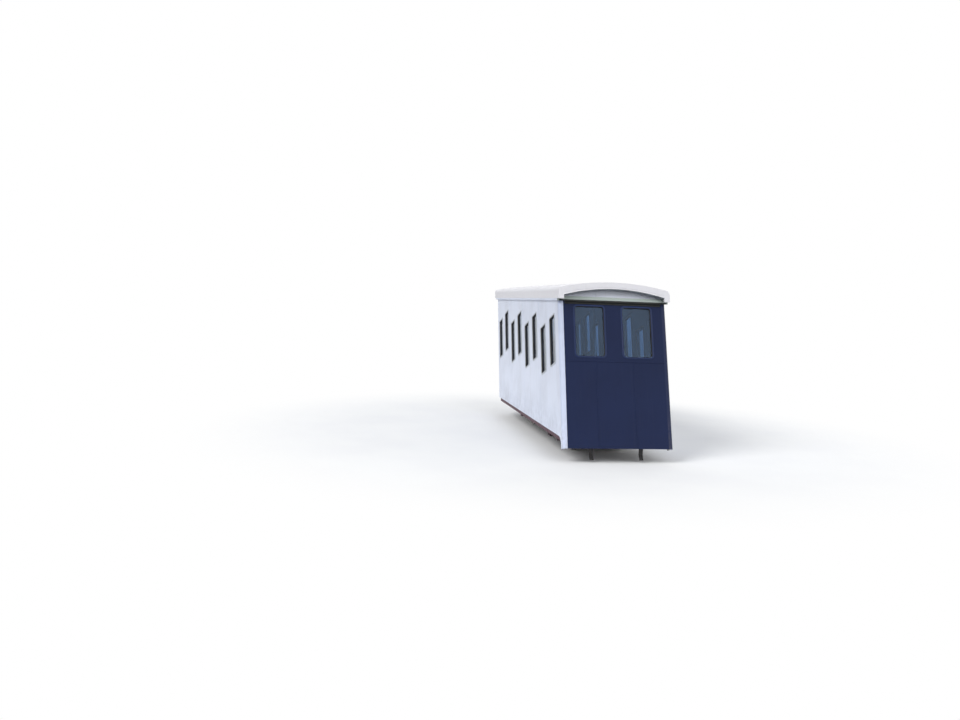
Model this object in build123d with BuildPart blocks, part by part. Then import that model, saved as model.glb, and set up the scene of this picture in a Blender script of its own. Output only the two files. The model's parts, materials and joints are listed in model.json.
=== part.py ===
from build123d import *
import os
from math import atan, cos, sin, sqrt

# Funicular car: upright stepped body over running gear that lies along the incline.
# The model stands on the plane of its wheels: +Y runs uphill along the rails.
# In a side view, run is level distance uphill from the lower end wall, and
# height is plumb height above the wheel plane under that wall. All sizes in mm.

# Track and body
track_rise = 0.30
gauge = 1000
body_width = 2200
compartments = 4
compartment_length = 1560
lower_margin = 170
upper_margin = 90
wall = 60
post = 90
post_round = 60
skirt_under_sole = 20
foot_drop = 190
foot_width = 120
foot_round = 220

# Roof and cornice
roof_reach = 40
roof_edge = 225
roof_crown = 365
roof_skin = 40
roof_shoulder = 80
roof_round = 90
roof_overhang = 170
rim_depth = 110
rim_length = 60
cornice_height = 45

# Floor and headroom
headroom = 2120
floor_plate = 40
floor_wheel_clear = 34
seat_gap = 0.3

# Windows
windows_each = 2
window_width = 430
window_height = 1000
window_sill = 857
window_cut = 24
end_window_width = 610
end_window_height = 1030
end_window_drop = 135
end_window_cut = 34
end_pillar = 360
pane = 6
frame_lap = 22
frame_lip = 12
frame_proud = 10

# Doors
door_width = 700
door_top_rail = 73
door_leaf = 40
door_clear = 5
door_free_clear = 8
door_rebate = 15
door_lip = 20
hinge_axis_out = 18
hinge_axis_in = 2
hinge_pin = 6
hinge_pin_sides = 12
hinge_pin_clear = 0.05
hinge_pin_length = 34
hinge_eye = 22
hinge_eye_cut = 6
hinge_bracket = 22
hinge_bracket_length = 60
strap_height = 30
strap_length = 180
strap_thickness = 18
strap_root_length = 150
strap_inset = 20
hinge_levels = (350, 1600)
handle_level = 1020
handle_length = 160
handle_bar = 16
handle_foot = 12
handle_out = 30
handle_inset = 55

# Wheels and axles
tread_radius = 260
flange_height = 20
flange_width = 22
groove_width = 66
drum_width = 220
rim_thickness = 42
drum_plate = 130
axle_radius = 65
seat_clear = 0.05
journal_radius = 45
journal_clear = 0.05
wheelbase = 3600
turning_clear = 6

# Axle boxes, guards and springs
box_inner = 670
box_outer = 840
box_width = 150
box_height = 170
box_cover = 25
guard_plate = 12
guard_top_width = 640
guard_foot_width = 300
guard_foot_height = 150
leaf_count = 4
leaf_thickness = 9
leaf_width = 70
leaf_span = 860
leaf_step = 150
leaf_camber = 20
buckle_length = 64
buckle_side = 5
shoe_length = 50

# Underframe
sole_inner = 700
sole_width = 70
sole_plate = 12
sole_depth = 135
stringer_neck = 15
stringer_inset = 30
stringer_plate = 12
headstock_length = 90
cross_member_places = (-950, 0, 950)
cross_member_width = 100
cross_member_plate = 10
brake_length = 220
brake_jaw_gap = 70
brake_jaw = 26
brake_floor_clear = 8
rail_guard_width = 80
rail_guard_plate = 16
rail_guard_clear = 45
rail_guard_lead = 190
anchor_cheek = 25
anchor_gap = 44
anchor_bore = 20.1
anchor_eye = 48
anchor_drop = 150
anchor_lead = 160
anchor_base = 20

# Fittings inside
bench_height = 430
bench_depth = 430
bench_back = 900
bench_board = 32
bench_bracket = 30
bench_nose = 14
pole_radius = 16
desk_width = 620
desk_depth = 330
desk_height = 860
desk_slope = 90
desk_side = 120

# Sizes worked out from the ones above
slope = atan(track_rise)
along = 1 / cos(slope)
half = body_width / 2
body_length = compartments * compartment_length + lower_margin + upper_margin
window_pitch = compartment_length / windows_each
flange_radius = tread_radius + flange_height
wheel_width = groove_width + 2 * flange_width
axle_height = flange_radius
axle_middle = body_length / 2 * along
axle_places = {"lower": axle_middle - wheelbase / 2, "upper": axle_middle + wheelbase / 2}
floor_over_track = (2 * axle_height + floor_wheel_clear) * along + floor_plate * (1 + track_rise)
floor_low = headroom + track_rise * compartment_length
eave_over_track = floor_over_track + floor_low
sole_top_over_track = floor_over_track - floor_plate * (1 + track_rise) - stringer_neck
sole_over_track = sole_top_over_track - sole_depth
skirt_over_track = sole_over_track + skirt_under_sole
foot_over_track = skirt_over_track - foot_drop
door_height = window_sill + window_height + door_top_rail
underframe_length = body_length - 2 * (wall + headstock_length)
roof_half = half + roof_reach
arch_rise = roof_crown - roof_edge
arch_radius = (roof_half**2 + arch_rise**2) / (2 * arch_rise)
arch_centre = roof_crown - arch_radius

# The frame's origin lies half way between the rim's upper corner and the lower foot
crown_at_upper_rim = eave_over_track + roof_crown + track_rise * (body_length + roof_overhang)
upper_reach = (body_length + roof_overhang) * cos(slope) + crown_at_upper_rim * sin(slope)
foot_reach = foot_over_track * sin(slope)
origin_shift = -(upper_reach + foot_reach) / 2


def side_plane(x):
    """Plane across the car at x: local x is the run uphill, local y the plumb height."""
    return Plane(origin=(x, origin_shift, 0), x_dir=(0, cos(slope), -sin(slope)), z_dir=(1, 0, 0))


def end_plane(run):
    """Plumb plane at a run, facing downhill: local x is the car's x, local y the height."""
    origin = (0, origin_shift + run * cos(slope), -run * sin(slope))
    return Plane(origin=origin, x_dir=(1, 0, 0), z_dir=(0, -cos(slope), sin(slope)))


def level_plane(height):
    """Level plane at a height, facing up: local x is the car's x, local y the run."""
    origin = (0, origin_shift + height * sin(slope), height * cos(slope))
    return Plane(origin=origin, x_dir=(1, 0, 0), z_dir=(0, sin(slope), cos(slope)))


def track_plane(x):
    """Plane across the car at x: local x runs along the track, local y stands square to it."""
    return Plane(origin=(x, origin_shift, 0), x_dir=(0, 1, 0), z_dir=(1, 0, 0))


def parallel_to_track(over_track):
    """Plane parallel to the track at a plumb height over it."""
    return Plane.XY.offset(over_track * cos(slope))


def height_at(over_track, run):
    """Height of a line parallel to the track, at a run."""
    return over_track + track_rise * run


def compartment_run(index):
    """Run at which a compartment begins."""
    return lower_margin + index * compartment_length


def floor_height(index):
    """Height of a compartment's floor."""
    return height_at(eave_over_track - headroom, compartment_run(index))


def window_centre(index, place):
    """Run and height of a side window's centre."""
    run = compartment_run(index) + (place + 0.5) * window_pitch
    return (run, floor_height(index) + window_sill + window_height / 2)


def cut_corners(width, height, cut):
    """Outline of an upright rectangle about its middle, with its corners cut off."""
    x, y = width / 2, height / 2
    lower = [(-x, -y + cut), (-x + cut, -y), (x - cut, -y), (x, -y + cut)]
    return [*lower, (x, y - cut), (x - cut, y), (-x + cut, y), (-x, y - cut)]


def frame_corners(width, height, cut, grow):
    """Outline of a window's corners, moved outwards by grow on every side."""
    return cut_corners(width + 2 * grow, height + 2 * grow, cut + (2 - sqrt(2)) * grow)


def arch_at(x, inset):
    """Height of the roof's arc over the eave at x, inset towards the cabin."""
    return arch_centre + sqrt((arch_radius - inset) ** 2 - x**2)


def arch_face(half_width, inset, base):
    """Section of the roof's arch: upright edges from the base, closed by the arc."""
    edge = base + arch_at(half_width, inset)
    crown = base + arch_at(0, inset)
    with BuildSketch() as face:
        with BuildLine():
            Polyline((half_width, edge), (half_width, base), (-half_width, base), (-half_width, edge))
            ThreePointArc((-half_width, edge), (0, crown), (half_width, edge))
        make_face()
    return face.sketch


def wall_points(start, end):
    """Outline of a side wall between two runs, with the foot where it meets the lower post."""
    points = [
        (start, height_at(eave_over_track, start)),
        (end, height_at(eave_over_track, end)),
        (end, height_at(skirt_over_track, end)),
    ]
    if start < foot_width:
        points.append((foot_width, height_at(skirt_over_track, foot_width)))
        points.append((foot_width, foot_over_track))
        points.append((start, foot_over_track))
    else:
        points.append((start, height_at(skirt_over_track, start)))
    return points


def stair_points(start, end):
    """Underside of the stepped floor as points, from the lower end to the upper."""
    points = []
    for index in range(compartments):
        lower = compartment_run(index) + floor_plate if index else start
        upper = compartment_run(index + 1) + floor_plate if index < compartments - 1 else end
        points.append((lower, floor_height(index) - floor_plate))
        points.append((upper, floor_height(index) - floor_plate))
    return points


os.makedirs("parts", exist_ok=True)
side_windows = [
    window_centre(index, place) for index in range(compartments) for place in range(windows_each)
]
fixed_windows_right = [window_centre(index, 1) for index in range(compartments)]
window_shape = (window_width, window_height, window_cut)
window_points = cut_corners(*window_shape)
pane_points = frame_corners(*window_shape, -seat_gap)
frame_points = frame_corners(*window_shape, frame_lap)
clear_points = frame_corners(*window_shape, -frame_lip)
end_window_shape = (end_window_width, end_window_height, end_window_cut)
end_window_x = (end_pillar + end_window_width) / 2


def end_windows(run):
    """Centres of the two windows in an end wall, on its plane."""
    height = height_at(eave_over_track, run) - end_window_drop - end_window_height / 2
    return [(-end_window_x, height), (end_window_x, height)]


# Left side wall: one panel with a window for each half compartment
with BuildPart() as left_side_wall:
    with BuildSketch(side_plane(-half)) as left_outline:
        Polygon(*wall_points(post, body_length - post), align=None)
        foot_corner = (foot_width, height_at(skirt_over_track, foot_width))
        fillet(left_outline.vertices().sort_by_distance(foot_corner)[0], foot_round)
        with Locations(*side_windows):
            Polygon(*window_points, align=None, mode=Mode.SUBTRACT)
    extrude(amount=wall)
left_side_wall.part.label = "left_side_wall"
export_step(left_side_wall.part, "parts/left_side_wall.step")

# Right side: one bay for each compartment, with a rebated door way and a window
for index in range(compartments):
    first = index == 0
    last = index == compartments - 1
    bay_start = post if first else compartment_run(index)
    bay_end = body_length - post if last else compartment_run(index + 1)
    door_run, window_level = window_centre(index, 0)
    door_middle = (door_run, floor_height(index) + door_height / 2)
    with BuildPart() as right_bay:
        with BuildSketch(side_plane(half - wall)) as bay_outline:
            Polygon(*wall_points(bay_start, bay_end), align=None)
            if first:
                fillet(bay_outline.vertices().sort_by_distance(foot_corner)[0], foot_round)
            with Locations(window_centre(index, 1)):
                Polygon(*window_points, align=None, mode=Mode.SUBTRACT)
        extrude(amount=wall)
        with BuildSketch(side_plane(half - wall)):
            with Locations(door_middle):
                Rectangle(door_width - 2 * door_lip, door_height - 2 * door_lip)
        extrude(amount=door_rebate, mode=Mode.SUBTRACT)
        with BuildSketch(side_plane(half - wall + door_rebate)):
            with Locations(door_middle):
                Rectangle(door_width, door_height)
        extrude(amount=wall - door_rebate, mode=Mode.SUBTRACT)
    bay_name = f"right_bay_{index + 1}"
    right_bay.part.label = bay_name
    export_step(right_bay.part, f"parts/{bay_name}.step")

# End walls, each closed by the arch under the roof
wall_half = half - post
arch_half = roof_half - roof_shoulder - seat_gap
end_wall_rows = (
    # name, run of its outer face, run of its lower face, height of its foot over the track
    ("lower_end_wall", 0, 0, foot_over_track),
    ("upper_end_wall", body_length, body_length - wall, skirt_over_track),
)
for name, outer_run, lower_run, foot in end_wall_rows:
    eave = height_at(eave_over_track, lower_run)
    bottom = height_at(foot, lower_run)
    with BuildPart() as end_wall:
        with BuildSketch(end_plane(lower_run)):
            Polygon(
                (-wall_half, bottom), (wall_half, bottom), (wall_half, eave), (-wall_half, eave), align=None
            )
            add(arch_face(arch_half, roof_skin + seat_gap, eave))
        extrude(amount=wall * along, dir=(0, 1, 0))
        with BuildSketch(end_plane(lower_run + wall)):
            with Locations(*end_windows(outer_run)):
                Polygon(*cut_corners(*end_window_shape), align=None)
        extrude(amount=wall, mode=Mode.SUBTRACT)
    end_wall.part.label = name
    export_step(end_wall.part, f"parts/{name}.step")

# Corner posts, rounded on the outer corner, standing from foot or skirt to the eave
post_rows = (
    # run of the post's middle, side of the rounded corner along the run
    (post / 2, -1),
    (body_length - post / 2, 1),
)
with BuildPart() as corner_posts:
    for run, outward in post_rows:
        for side in (-1, 1):
            x = side * (half - post / 2)
            with BuildSketch(level_plane(foot_over_track)) as post_section:
                with Locations((x, run)):
                    Rectangle(post, post)
                corner = (x + side * post / 2, run + outward * post / 2)
                fillet(post_section.vertices().sort_by_distance(corner)[0], post_round)
                inner_corner = (x - side * wall / 2, run - outward * wall / 2)
                with Locations(inner_corner):
                    Rectangle(post - wall, post - wall, mode=Mode.SUBTRACT)
            extrude(amount=height_at(eave_over_track, body_length))
    split(bisect_by=parallel_to_track(eave_over_track), keep=Keep.BOTTOM)
    with BuildSketch(side_plane(-half - post)):
        Polygon(
            (body_length / 2, 0),
            (body_length + post, 0),
            (body_length + post, height_at(skirt_over_track, body_length + post)),
            (body_length / 2, height_at(skirt_over_track, body_length / 2)),
            align=None,
        )
    extrude(amount=body_width + 2 * post, mode=Mode.SUBTRACT)
corner_posts.part.label = "corner_posts"
export_step(corner_posts.part, "parts/corner_posts.step")

# Roof: arched skin with upright edges, and a deep rim under it at each end
roof_start = -roof_overhang
roof_length = body_length + 2 * roof_overhang
roof_base = height_at(eave_over_track, roof_start)
with BuildPart() as roof_shell:
    with BuildSketch(end_plane(roof_start)) as roof_section:
        add(arch_face(roof_half, 0, roof_base))
        fillet(roof_section.vertices().group_by(Axis.Y)[-1], roof_round)
        add(arch_face(roof_half - roof_shoulder, roof_skin, roof_base), mode=Mode.SUBTRACT)
    extrude(amount=roof_length * along, dir=(0, 1, 0))
    for rim_start in (roof_start, roof_start + roof_length - rim_length):
        rim_base = height_at(eave_over_track, rim_start)
        with BuildSketch(end_plane(rim_start)):
            add(arch_face(roof_half - roof_shoulder, roof_skin, rim_base))
            add(arch_face(roof_half - rim_depth, rim_depth, rim_base), mode=Mode.SUBTRACT)
        extrude(amount=rim_length * along, dir=(0, 1, 0))
roof_shell.part.label = "roof_shell"
export_step(roof_shell.part, "parts/roof_shell.step")

# Cornice: a moulding round the body under the eave
cornice_start = -roof_reach
cornice_length = body_length + 2 * roof_reach
cornice_top = height_at(eave_over_track, cornice_start)
with BuildPart() as cornice:
    with BuildSketch(end_plane(cornice_start)):
        for side in (-1, 1):
            with Locations((side * (half + roof_reach / 2), cornice_top - cornice_height / 2)):
                Rectangle(roof_reach, cornice_height)
    extrude(amount=cornice_length * along, dir=(0, 1, 0))
    for run in (cornice_start, body_length):
        end_top = height_at(eave_over_track, run)
        with BuildSketch(end_plane(run)):
            with Locations((0, end_top - cornice_height / 2)):
                Rectangle(body_width, cornice_height)
        extrude(amount=roof_reach * along, dir=(0, 1, 0))
cornice.part.label = "cornice"
export_step(cornice.part, "parts/cornice.step")

# Side window frames and panes
side_rows = (
    # side, x of the wall's outer face, x where the frame begins, centres
    ("left", -half, -half - frame_proud, side_windows),
    ("right", half - wall, half, fixed_windows_right),
)
for side, wall_start, frame_start, centres in side_rows:
    with BuildPart() as frames:
        with BuildSketch(side_plane(frame_start)):
            with Locations(*centres):
                Polygon(*frame_points, align=None)
                Polygon(*clear_points, align=None, mode=Mode.SUBTRACT)
        extrude(amount=frame_proud)
    frames.part.label = f"window_frames_{side}"
    export_step(frames.part, f"parts/window_frames_{side}.step")
    with BuildPart() as panes:
        with BuildSketch(side_plane(wall_start + (wall - pane) / 2)):
            with Locations(*centres):
                Polygon(*pane_points, align=None)
        extrude(amount=pane)
    panes.part.label = f"glass_{side}"
    export_step(panes.part, f"parts/glass_{side}.step")

# End window frames and panes
end_rows = (
    # end, run of the wall's outer face, run of the frame's plane, run of the pane's plane
    ("lower", 0, 0, (wall + pane) / 2),
    ("upper", body_length, body_length + frame_proud, body_length - (wall - pane) / 2),
)
for end, outer_run, frame_run, pane_run in end_rows:
    with BuildPart() as frames:
        with BuildSketch(end_plane(frame_run)):
            with Locations(*end_windows(outer_run)):
                Polygon(*frame_corners(*end_window_shape, frame_lap), align=None)
                Polygon(*frame_corners(*end_window_shape, -frame_lip), align=None, mode=Mode.SUBTRACT)
        extrude(amount=frame_proud)
    frames.part.label = f"window_frames_{end}_end"
    export_step(frames.part, f"parts/window_frames_{end}_end.step")
    with BuildPart() as panes:
        with BuildSketch(end_plane(pane_run)):
            with Locations(*end_windows(outer_run)):
                Polygon(*frame_corners(*end_window_shape, -seat_gap), align=None)
        extrude(amount=pane)
    panes.part.label = f"glass_{end}_end"
    export_step(panes.part, f"parts/glass_{end}_end.step")

# Door hinges: a bracket on the wall with an upright pin, which the door's eye drops over
bracket_reach = hinge_axis_out + strap_thickness / 2
eye_points = cut_corners(hinge_eye, hinge_eye, hinge_eye_cut)
with BuildPart() as door_hinges:
    for index in range(compartments):
        way_start = window_centre(index, 0)[0] - door_width / 2
        axis = (half + hinge_axis_out, way_start + hinge_axis_in)
        for level in hinge_levels:
            bracket_top = floor_height(index) + level
            with BuildSketch(level_plane(bracket_top - hinge_bracket)):
                with Locations((half + bracket_reach / 2, way_start - hinge_bracket_length / 2)):
                    Rectangle(bracket_reach, hinge_bracket_length)
                with Locations(axis):
                    Polygon(*eye_points, align=None)
            extrude(amount=hinge_bracket)
            with BuildSketch(level_plane(bracket_top)):
                with Locations(axis):
                    RegularPolygon(hinge_pin, hinge_pin_sides)
            extrude(amount=hinge_pin_length)
door_hinges.part.label = "door_hinges"
export_step(door_hinges.part, "parts/door_hinges.step")

# Doors: a leaf with its window, two eye straps at the downhill edge and a bar handle
for index in range(compartments):
    window_middle = window_centre(index, 0)
    door_run = window_middle[0]
    way_start = door_run - door_width / 2
    sill = floor_height(index)
    leaf_start = way_start + door_clear
    leaf_end = way_start + door_width - door_free_clear
    leaf_middle = ((leaf_start + leaf_end) / 2, sill + door_height / 2)
    axis = (half + hinge_axis_out, way_start + hinge_axis_in)
    with BuildPart() as door:
        with BuildSketch(side_plane(half - door_leaf)):
            with Locations(leaf_middle):
                Rectangle(leaf_end - leaf_start, door_height - 2 * door_clear)
            with Locations(window_middle):
                Polygon(*window_points, align=None, mode=Mode.SUBTRACT)
        extrude(amount=door_leaf)
        with BuildSketch(side_plane(half)):
            with Locations(window_middle):
                Polygon(*frame_points, align=None)
                Polygon(*clear_points, align=None, mode=Mode.SUBTRACT)
        extrude(amount=frame_proud)
        for level in hinge_levels:
            with BuildSketch(level_plane(sill + level + seat_gap)):
                with Locations((axis[0], axis[1] + strap_length / 2)):
                    Rectangle(strap_thickness, strap_length)
                root_run = leaf_start + strap_inset + strap_root_length / 2
                with Locations((half + hinge_axis_out / 2, root_run)):
                    Rectangle(hinge_axis_out, strap_root_length)
                with Locations(axis):
                    Polygon(*eye_points, align=None)
                    Circle(hinge_pin + hinge_pin_clear, mode=Mode.SUBTRACT)
            extrude(amount=strap_height)
        handle_run = leaf_end - handle_inset
        with BuildSketch(level_plane(sill + handle_level - handle_length / 2)):
            with Locations((half + handle_out - handle_bar / 2, handle_run)):
                Rectangle(handle_bar, handle_bar)
        extrude(amount=handle_length)
        with BuildSketch(side_plane(half)):
            for end in (-1, 1):
                foot_level = sill + handle_level + end * (handle_length / 2 - handle_bar)
                with Locations((handle_run, foot_level)):
                    Rectangle(handle_foot, handle_foot)
        extrude(amount=handle_out - handle_bar)
    door.part.label = f"door_{index + 1}"
    export_step(door.part, f"parts/door_{index + 1}.step")
    with BuildPart() as door_pane:
        with BuildSketch(side_plane(half - (door_leaf + pane) / 2)):
            with Locations(window_middle):
                Polygon(*pane_points, align=None)
        extrude(amount=pane)
    door_pane.part.label = f"door_glass_{index + 1}"
    export_step(door_pane.part, f"parts/door_glass_{index + 1}.step")

# Stepped floor: level treads joined by plumb risers
inner_half = half - wall
stair_bottom = stair_points(wall, body_length - wall)
stair_top = []
for index in range(compartments):
    tread_start = compartment_run(index) if index else wall
    tread_end = compartment_run(index + 1) if index < compartments - 1 else body_length - wall
    stair_top.append((tread_start, floor_height(index)))
    stair_top.append((tread_end, floor_height(index)))
with BuildPart() as stepped_floor:
    with BuildSketch(side_plane(-inner_half)):
        Polygon(*stair_top, *reversed(stair_bottom), align=None)
    extrude(amount=2 * inner_half)
stepped_floor.part.label = "stepped_floor"
export_step(stepped_floor.part, "parts/stepped_floor.step")

# Saw-tooth stringers between the sole bars and the floor
stringer_rows = (
    # name, x where its plate begins
    ("stringer_left", -sole_inner - stringer_inset - stringer_plate),
    ("stringer_right", sole_inner + stringer_inset),
)
stringer_start = wall
stringer_end = body_length - wall
for name, plate_start in stringer_rows:
    with BuildPart() as stringer:
        with BuildSketch(side_plane(plate_start)):
            Polygon(
                *stair_bottom,
                (stringer_end, height_at(sole_top_over_track, stringer_end)),
                (stringer_start, height_at(sole_top_over_track, stringer_start)),
                align=None,
            )
        extrude(amount=stringer_plate)
    stringer.part.label = name
    export_step(stringer.part, f"parts/{name}.step")

# Sole bars: channels with their flanges outward
sole_start = wall + headstock_length
sole_bottom = height_at(sole_over_track, sole_start)
sole_top = height_at(sole_top_over_track, sole_start)
for side, name in ((-1, "sole_bar_left"), (1, "sole_bar_right")):
    with BuildPart() as sole_bar:
        with BuildSketch(end_plane(sole_start)):
            with Locations((side * (sole_inner + sole_width / 2), (sole_bottom + sole_top) / 2)):
                Rectangle(sole_width, sole_top - sole_bottom)
            hollow_x = side * (sole_inner + (sole_width + sole_plate) / 2)
            with Locations((hollow_x, (sole_bottom + sole_top) / 2)):
                Rectangle(
                    sole_width - sole_plate, sole_top - sole_bottom - 2 * sole_plate, mode=Mode.SUBTRACT
                )
        extrude(amount=underframe_length * along, dir=(0, 1, 0))
    sole_bar.part.label = name
    export_step(sole_bar.part, f"parts/{name}.step")

# Headstocks: channels across both ends of the underframe, open towards the middle
headstock_rows = (
    # name, run of the closed face, direction towards the middle
    ("headstock_lower", wall, 1),
    ("headstock_upper", body_length - wall, -1),
)
for name, face_run, inward in headstock_rows:
    back_run = face_run + inward * headstock_length
    web_run = face_run + inward * sole_plate
    with BuildPart() as headstock:
        with BuildSketch(side_plane(-inner_half)):
            Polygon(
                (face_run, height_at(sole_over_track, face_run)),
                (back_run, height_at(sole_over_track, back_run)),
                (back_run, height_at(sole_top_over_track, back_run)),
                (face_run, height_at(sole_top_over_track, face_run)),
                align=None,
            )
            Polygon(
                (web_run, height_at(sole_over_track + sole_plate, web_run)),
                (back_run, height_at(sole_over_track + sole_plate, back_run)),
                (back_run, height_at(sole_top_over_track - sole_plate, back_run)),
                (web_run, height_at(sole_top_over_track - sole_plate, web_run)),
                align=None,
                mode=Mode.SUBTRACT,
            )
        extrude(amount=2 * inner_half)
    headstock.part.label = name
    export_step(headstock.part, f"parts/{name}.step")

# Cross members: hollow beams between the sole bars
sole_low = sole_over_track * cos(slope)
sole_high = sole_top_over_track * cos(slope)
sole_middle = (sole_low + sole_high) / 2
with BuildPart() as cross_members:
    for place in cross_member_places:
        with BuildSketch(track_plane(-sole_inner)):
            with Locations((axle_middle + place, sole_middle)):
                Rectangle(cross_member_width, sole_high - sole_low)
                Rectangle(
                    cross_member_width - 2 * cross_member_plate,
                    sole_high - sole_low - 2 * cross_member_plate,
                    mode=Mode.SUBTRACT,
                )
        extrude(amount=2 * sole_inner)
cross_members.part.label = "cross_members"
export_step(cross_members.part, "parts/cross_members.step")

# Axle guards: plates behind the sole bars, with a window that holds the axle box
slot_half = box_width / 2 + seat_gap
slot_low = axle_height - box_height / 2 - seat_gap
slot_high = axle_height + box_height / 2 + seat_gap
with BuildPart() as axle_guards:
    for place in axle_places.values():
        for guard_start in (-sole_inner, sole_inner - guard_plate):
            with BuildSketch(track_plane(guard_start)) as guard_outline:
                with Locations((place, 0)):
                    Polygon(
                        (-guard_top_width / 2, sole_high),
                        (-guard_top_width / 2, sole_low),
                        (-guard_foot_width / 2, guard_foot_height),
                        (guard_foot_width / 2, guard_foot_height),
                        (guard_top_width / 2, sole_low),
                        (guard_top_width / 2, sole_high),
                        align=None,
                    )
                    Polygon(
                        (-slot_half, slot_low),
                        (slot_half, slot_low),
                        (slot_half, slot_high),
                        (-slot_half, slot_high),
                        align=None,
                        mode=Mode.SUBTRACT,
                    )
            extrude(amount=guard_plate)
axle_guards.part.label = "axle_guards"
export_step(axle_guards.part, "parts/axle_guards.step")

# Axle boxes: rounded blocks with a blind bore for the journal
box_length = box_outer - box_inner
with BuildPart() as axle_boxes:
    for place in axle_places.values():
        for side in (-1, 1):
            inner_face = side * box_inner
            with BuildSketch(track_plane(inner_face)) as box_section:
                with Locations((place, axle_height)):
                    Rectangle(box_width, box_height)
            extrude(amount=side * box_length)
            with BuildSketch(track_plane(inner_face)):
                with Locations((place, axle_height)):
                    Circle(journal_radius + journal_clear)
            extrude(amount=side * (box_length - box_cover), mode=Mode.SUBTRACT)
    lower_corners = axle_boxes.edges().filter_by(Axis.X).group_by(Axis.Z)[0]
    chamfer(lower_corners, box_cover)
axle_boxes.part.label = "axle_boxes"
export_step(axle_boxes.part, "parts/axle_boxes.step")

# Leaf springs: stacked leaves, longest on top, with a buckle on the box and shoes under the sole bar
leaf_base = axle_height + box_height / 2 + seat_gap + leaf_thickness
spring_inner = sole_inner + sole_width / 2
leaf_radius = ((leaf_span / 2) ** 2 + leaf_camber**2) / (2 * leaf_camber)
with BuildPart() as leaf_springs:
    for place in axle_places.values():
        for spring_start in (-spring_inner - leaf_width, spring_inner):
            for layer in range(leaf_count):
                reach = leaf_span / 2 - (leaf_count - 1 - layer) * leaf_step / 2
                low = leaf_base + layer * leaf_thickness
                rise = leaf_radius - sqrt(leaf_radius**2 - reach**2)
                top = low + leaf_thickness
                with BuildSketch(track_plane(spring_start)):
                    with BuildLine():
                        start, end = place - reach, place + reach
                        ThreePointArc((start, low + rise), (place, low), (end, low + rise))
                        Line((end, low + rise), (end, top + rise))
                        ThreePointArc((end, top + rise), (place, top), (start, top + rise))
                        Line((start, top + rise), (start, low + rise))
                    make_face()
                extrude(amount=leaf_width)
            leaf_top = leaf_base + leaf_count * leaf_thickness
            buckle_low = axle_height + box_height / 2 + seat_gap
            buckle_high = leaf_top + leaf_thickness
            with BuildSketch(track_plane(spring_start - buckle_side)):
                with Locations((place, (buckle_low + buckle_high) / 2)):
                    Rectangle(buckle_length, buckle_high - buckle_low)
            extrude(amount=leaf_width + 2 * buckle_side)
            shoe_reach = (leaf_span - shoe_length) / 2
            shoe_low = leaf_top
            shoe_high = sole_low - seat_gap
            with BuildSketch(track_plane(spring_start)):
                with Locations(
                    (place - shoe_reach, (shoe_low + shoe_high) / 2),
                    (place + shoe_reach, (shoe_low + shoe_high) / 2),
                ):
                    Rectangle(shoe_length, shoe_high - shoe_low)
            extrude(amount=leaf_width)
leaf_springs.part.label = "leaf_springs"
export_step(leaf_springs.part, "parts/leaf_springs.step")

# Axles: one turned shaft each, with a journal at both ends
shaft_end = box_inner - turning_clear
journal_end = box_outer - box_cover - turning_clear
wheel_side = gauge / 2
axle_profile = (
    # x, radius
    (-journal_end, 0),
    (-journal_end, journal_radius),
    (-shaft_end, journal_radius),
    (-shaft_end, axle_radius),
)
axle_points = [*axle_profile, *[(-x, radius) for x, radius in reversed(axle_profile)]]

# Grooved wheels carry two flanges, drum wheels none, so that a car keeps to its outer rail.
# The first is a solid disc, the second a wide rim round a thinner plate.
rim_radius = tread_radius - rim_thickness
half_wheel = {
    # half section from the bore to the tread: x, radius
    "grooved": [
        (wheel_width / 2, axle_radius + seat_clear),
        (wheel_width / 2, flange_radius),
        (groove_width / 2, tread_radius),
    ],
    "drum": [
        (drum_plate / 2, axle_radius + seat_clear),
        (drum_plate / 2, rim_radius),
        (drum_width / 2, rim_radius),
        (drum_width / 2, tread_radius),
    ],
}
wheel_rows = (
    # kind, x of its middle
    ("grooved", -wheel_side),
    ("drum", wheel_side),
)
for end, place in axle_places.items():
    centre = (0, origin_shift + place, axle_height)
    turning = Axis(centre, (1, 0, 0))
    with BuildPart() as axle:
        with BuildSketch(Plane(origin=centre, x_dir=(1, 0, 0), z_dir=(0, -1, 0))):
            Polygon(*axle_points, align=None)
        revolve(axis=turning)
    axle.part.label = f"axle_{end}"
    export_step(axle.part, f"parts/axle_{end}.step")
    with BuildPart() as wheels:
        for kind, x in wheel_rows:
            outline = half_wheel[kind]
            wheel_points = [*outline, *[(-step, radius) for step, radius in reversed(outline)]]
            hub = (x, origin_shift + place, axle_height)
            with BuildSketch(Plane(origin=hub, x_dir=(1, 0, 0), z_dir=(0, -1, 0))):
                Polygon(*wheel_points, align=None)
            revolve(axis=turning)
    wheels.part.label = f"wheels_{end}"
    export_step(wheels.part, f"parts/wheels_{end}.step")

# Rail brakes: pincers that hang over both rails from the middle cross member
brake_outer = brake_jaw_gap / 2 + brake_jaw
brake_shoulder = brake_outer + brake_jaw
brake_waist = sole_low * 2 / 3
brake_gap_top = axle_height - tread_radius + brake_jaw_gap + brake_jaw
half_brake = (
    # x from the rail's middle, height
    (brake_outer, sole_low),
    (brake_shoulder, brake_waist),
    (brake_shoulder, brake_gap_top),
    (brake_outer, brake_gap_top - brake_jaw),
    (brake_outer, brake_floor_clear),
    (brake_jaw_gap / 2, brake_floor_clear),
    (brake_jaw_gap / 2, brake_gap_top),
)
brake_points = [*half_brake, *[(-x, height) for x, height in reversed(half_brake)]]
brake_start = origin_shift + axle_middle + brake_length / 2
with BuildPart() as rail_brakes:
    for side in (-1, 1):
        origin = (side * wheel_side, brake_start, 0)
        with BuildSketch(Plane(origin=origin, x_dir=(1, 0, 0), z_dir=(0, -1, 0))):
            Polygon(*brake_points, align=None)
        extrude(amount=brake_length)
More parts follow.
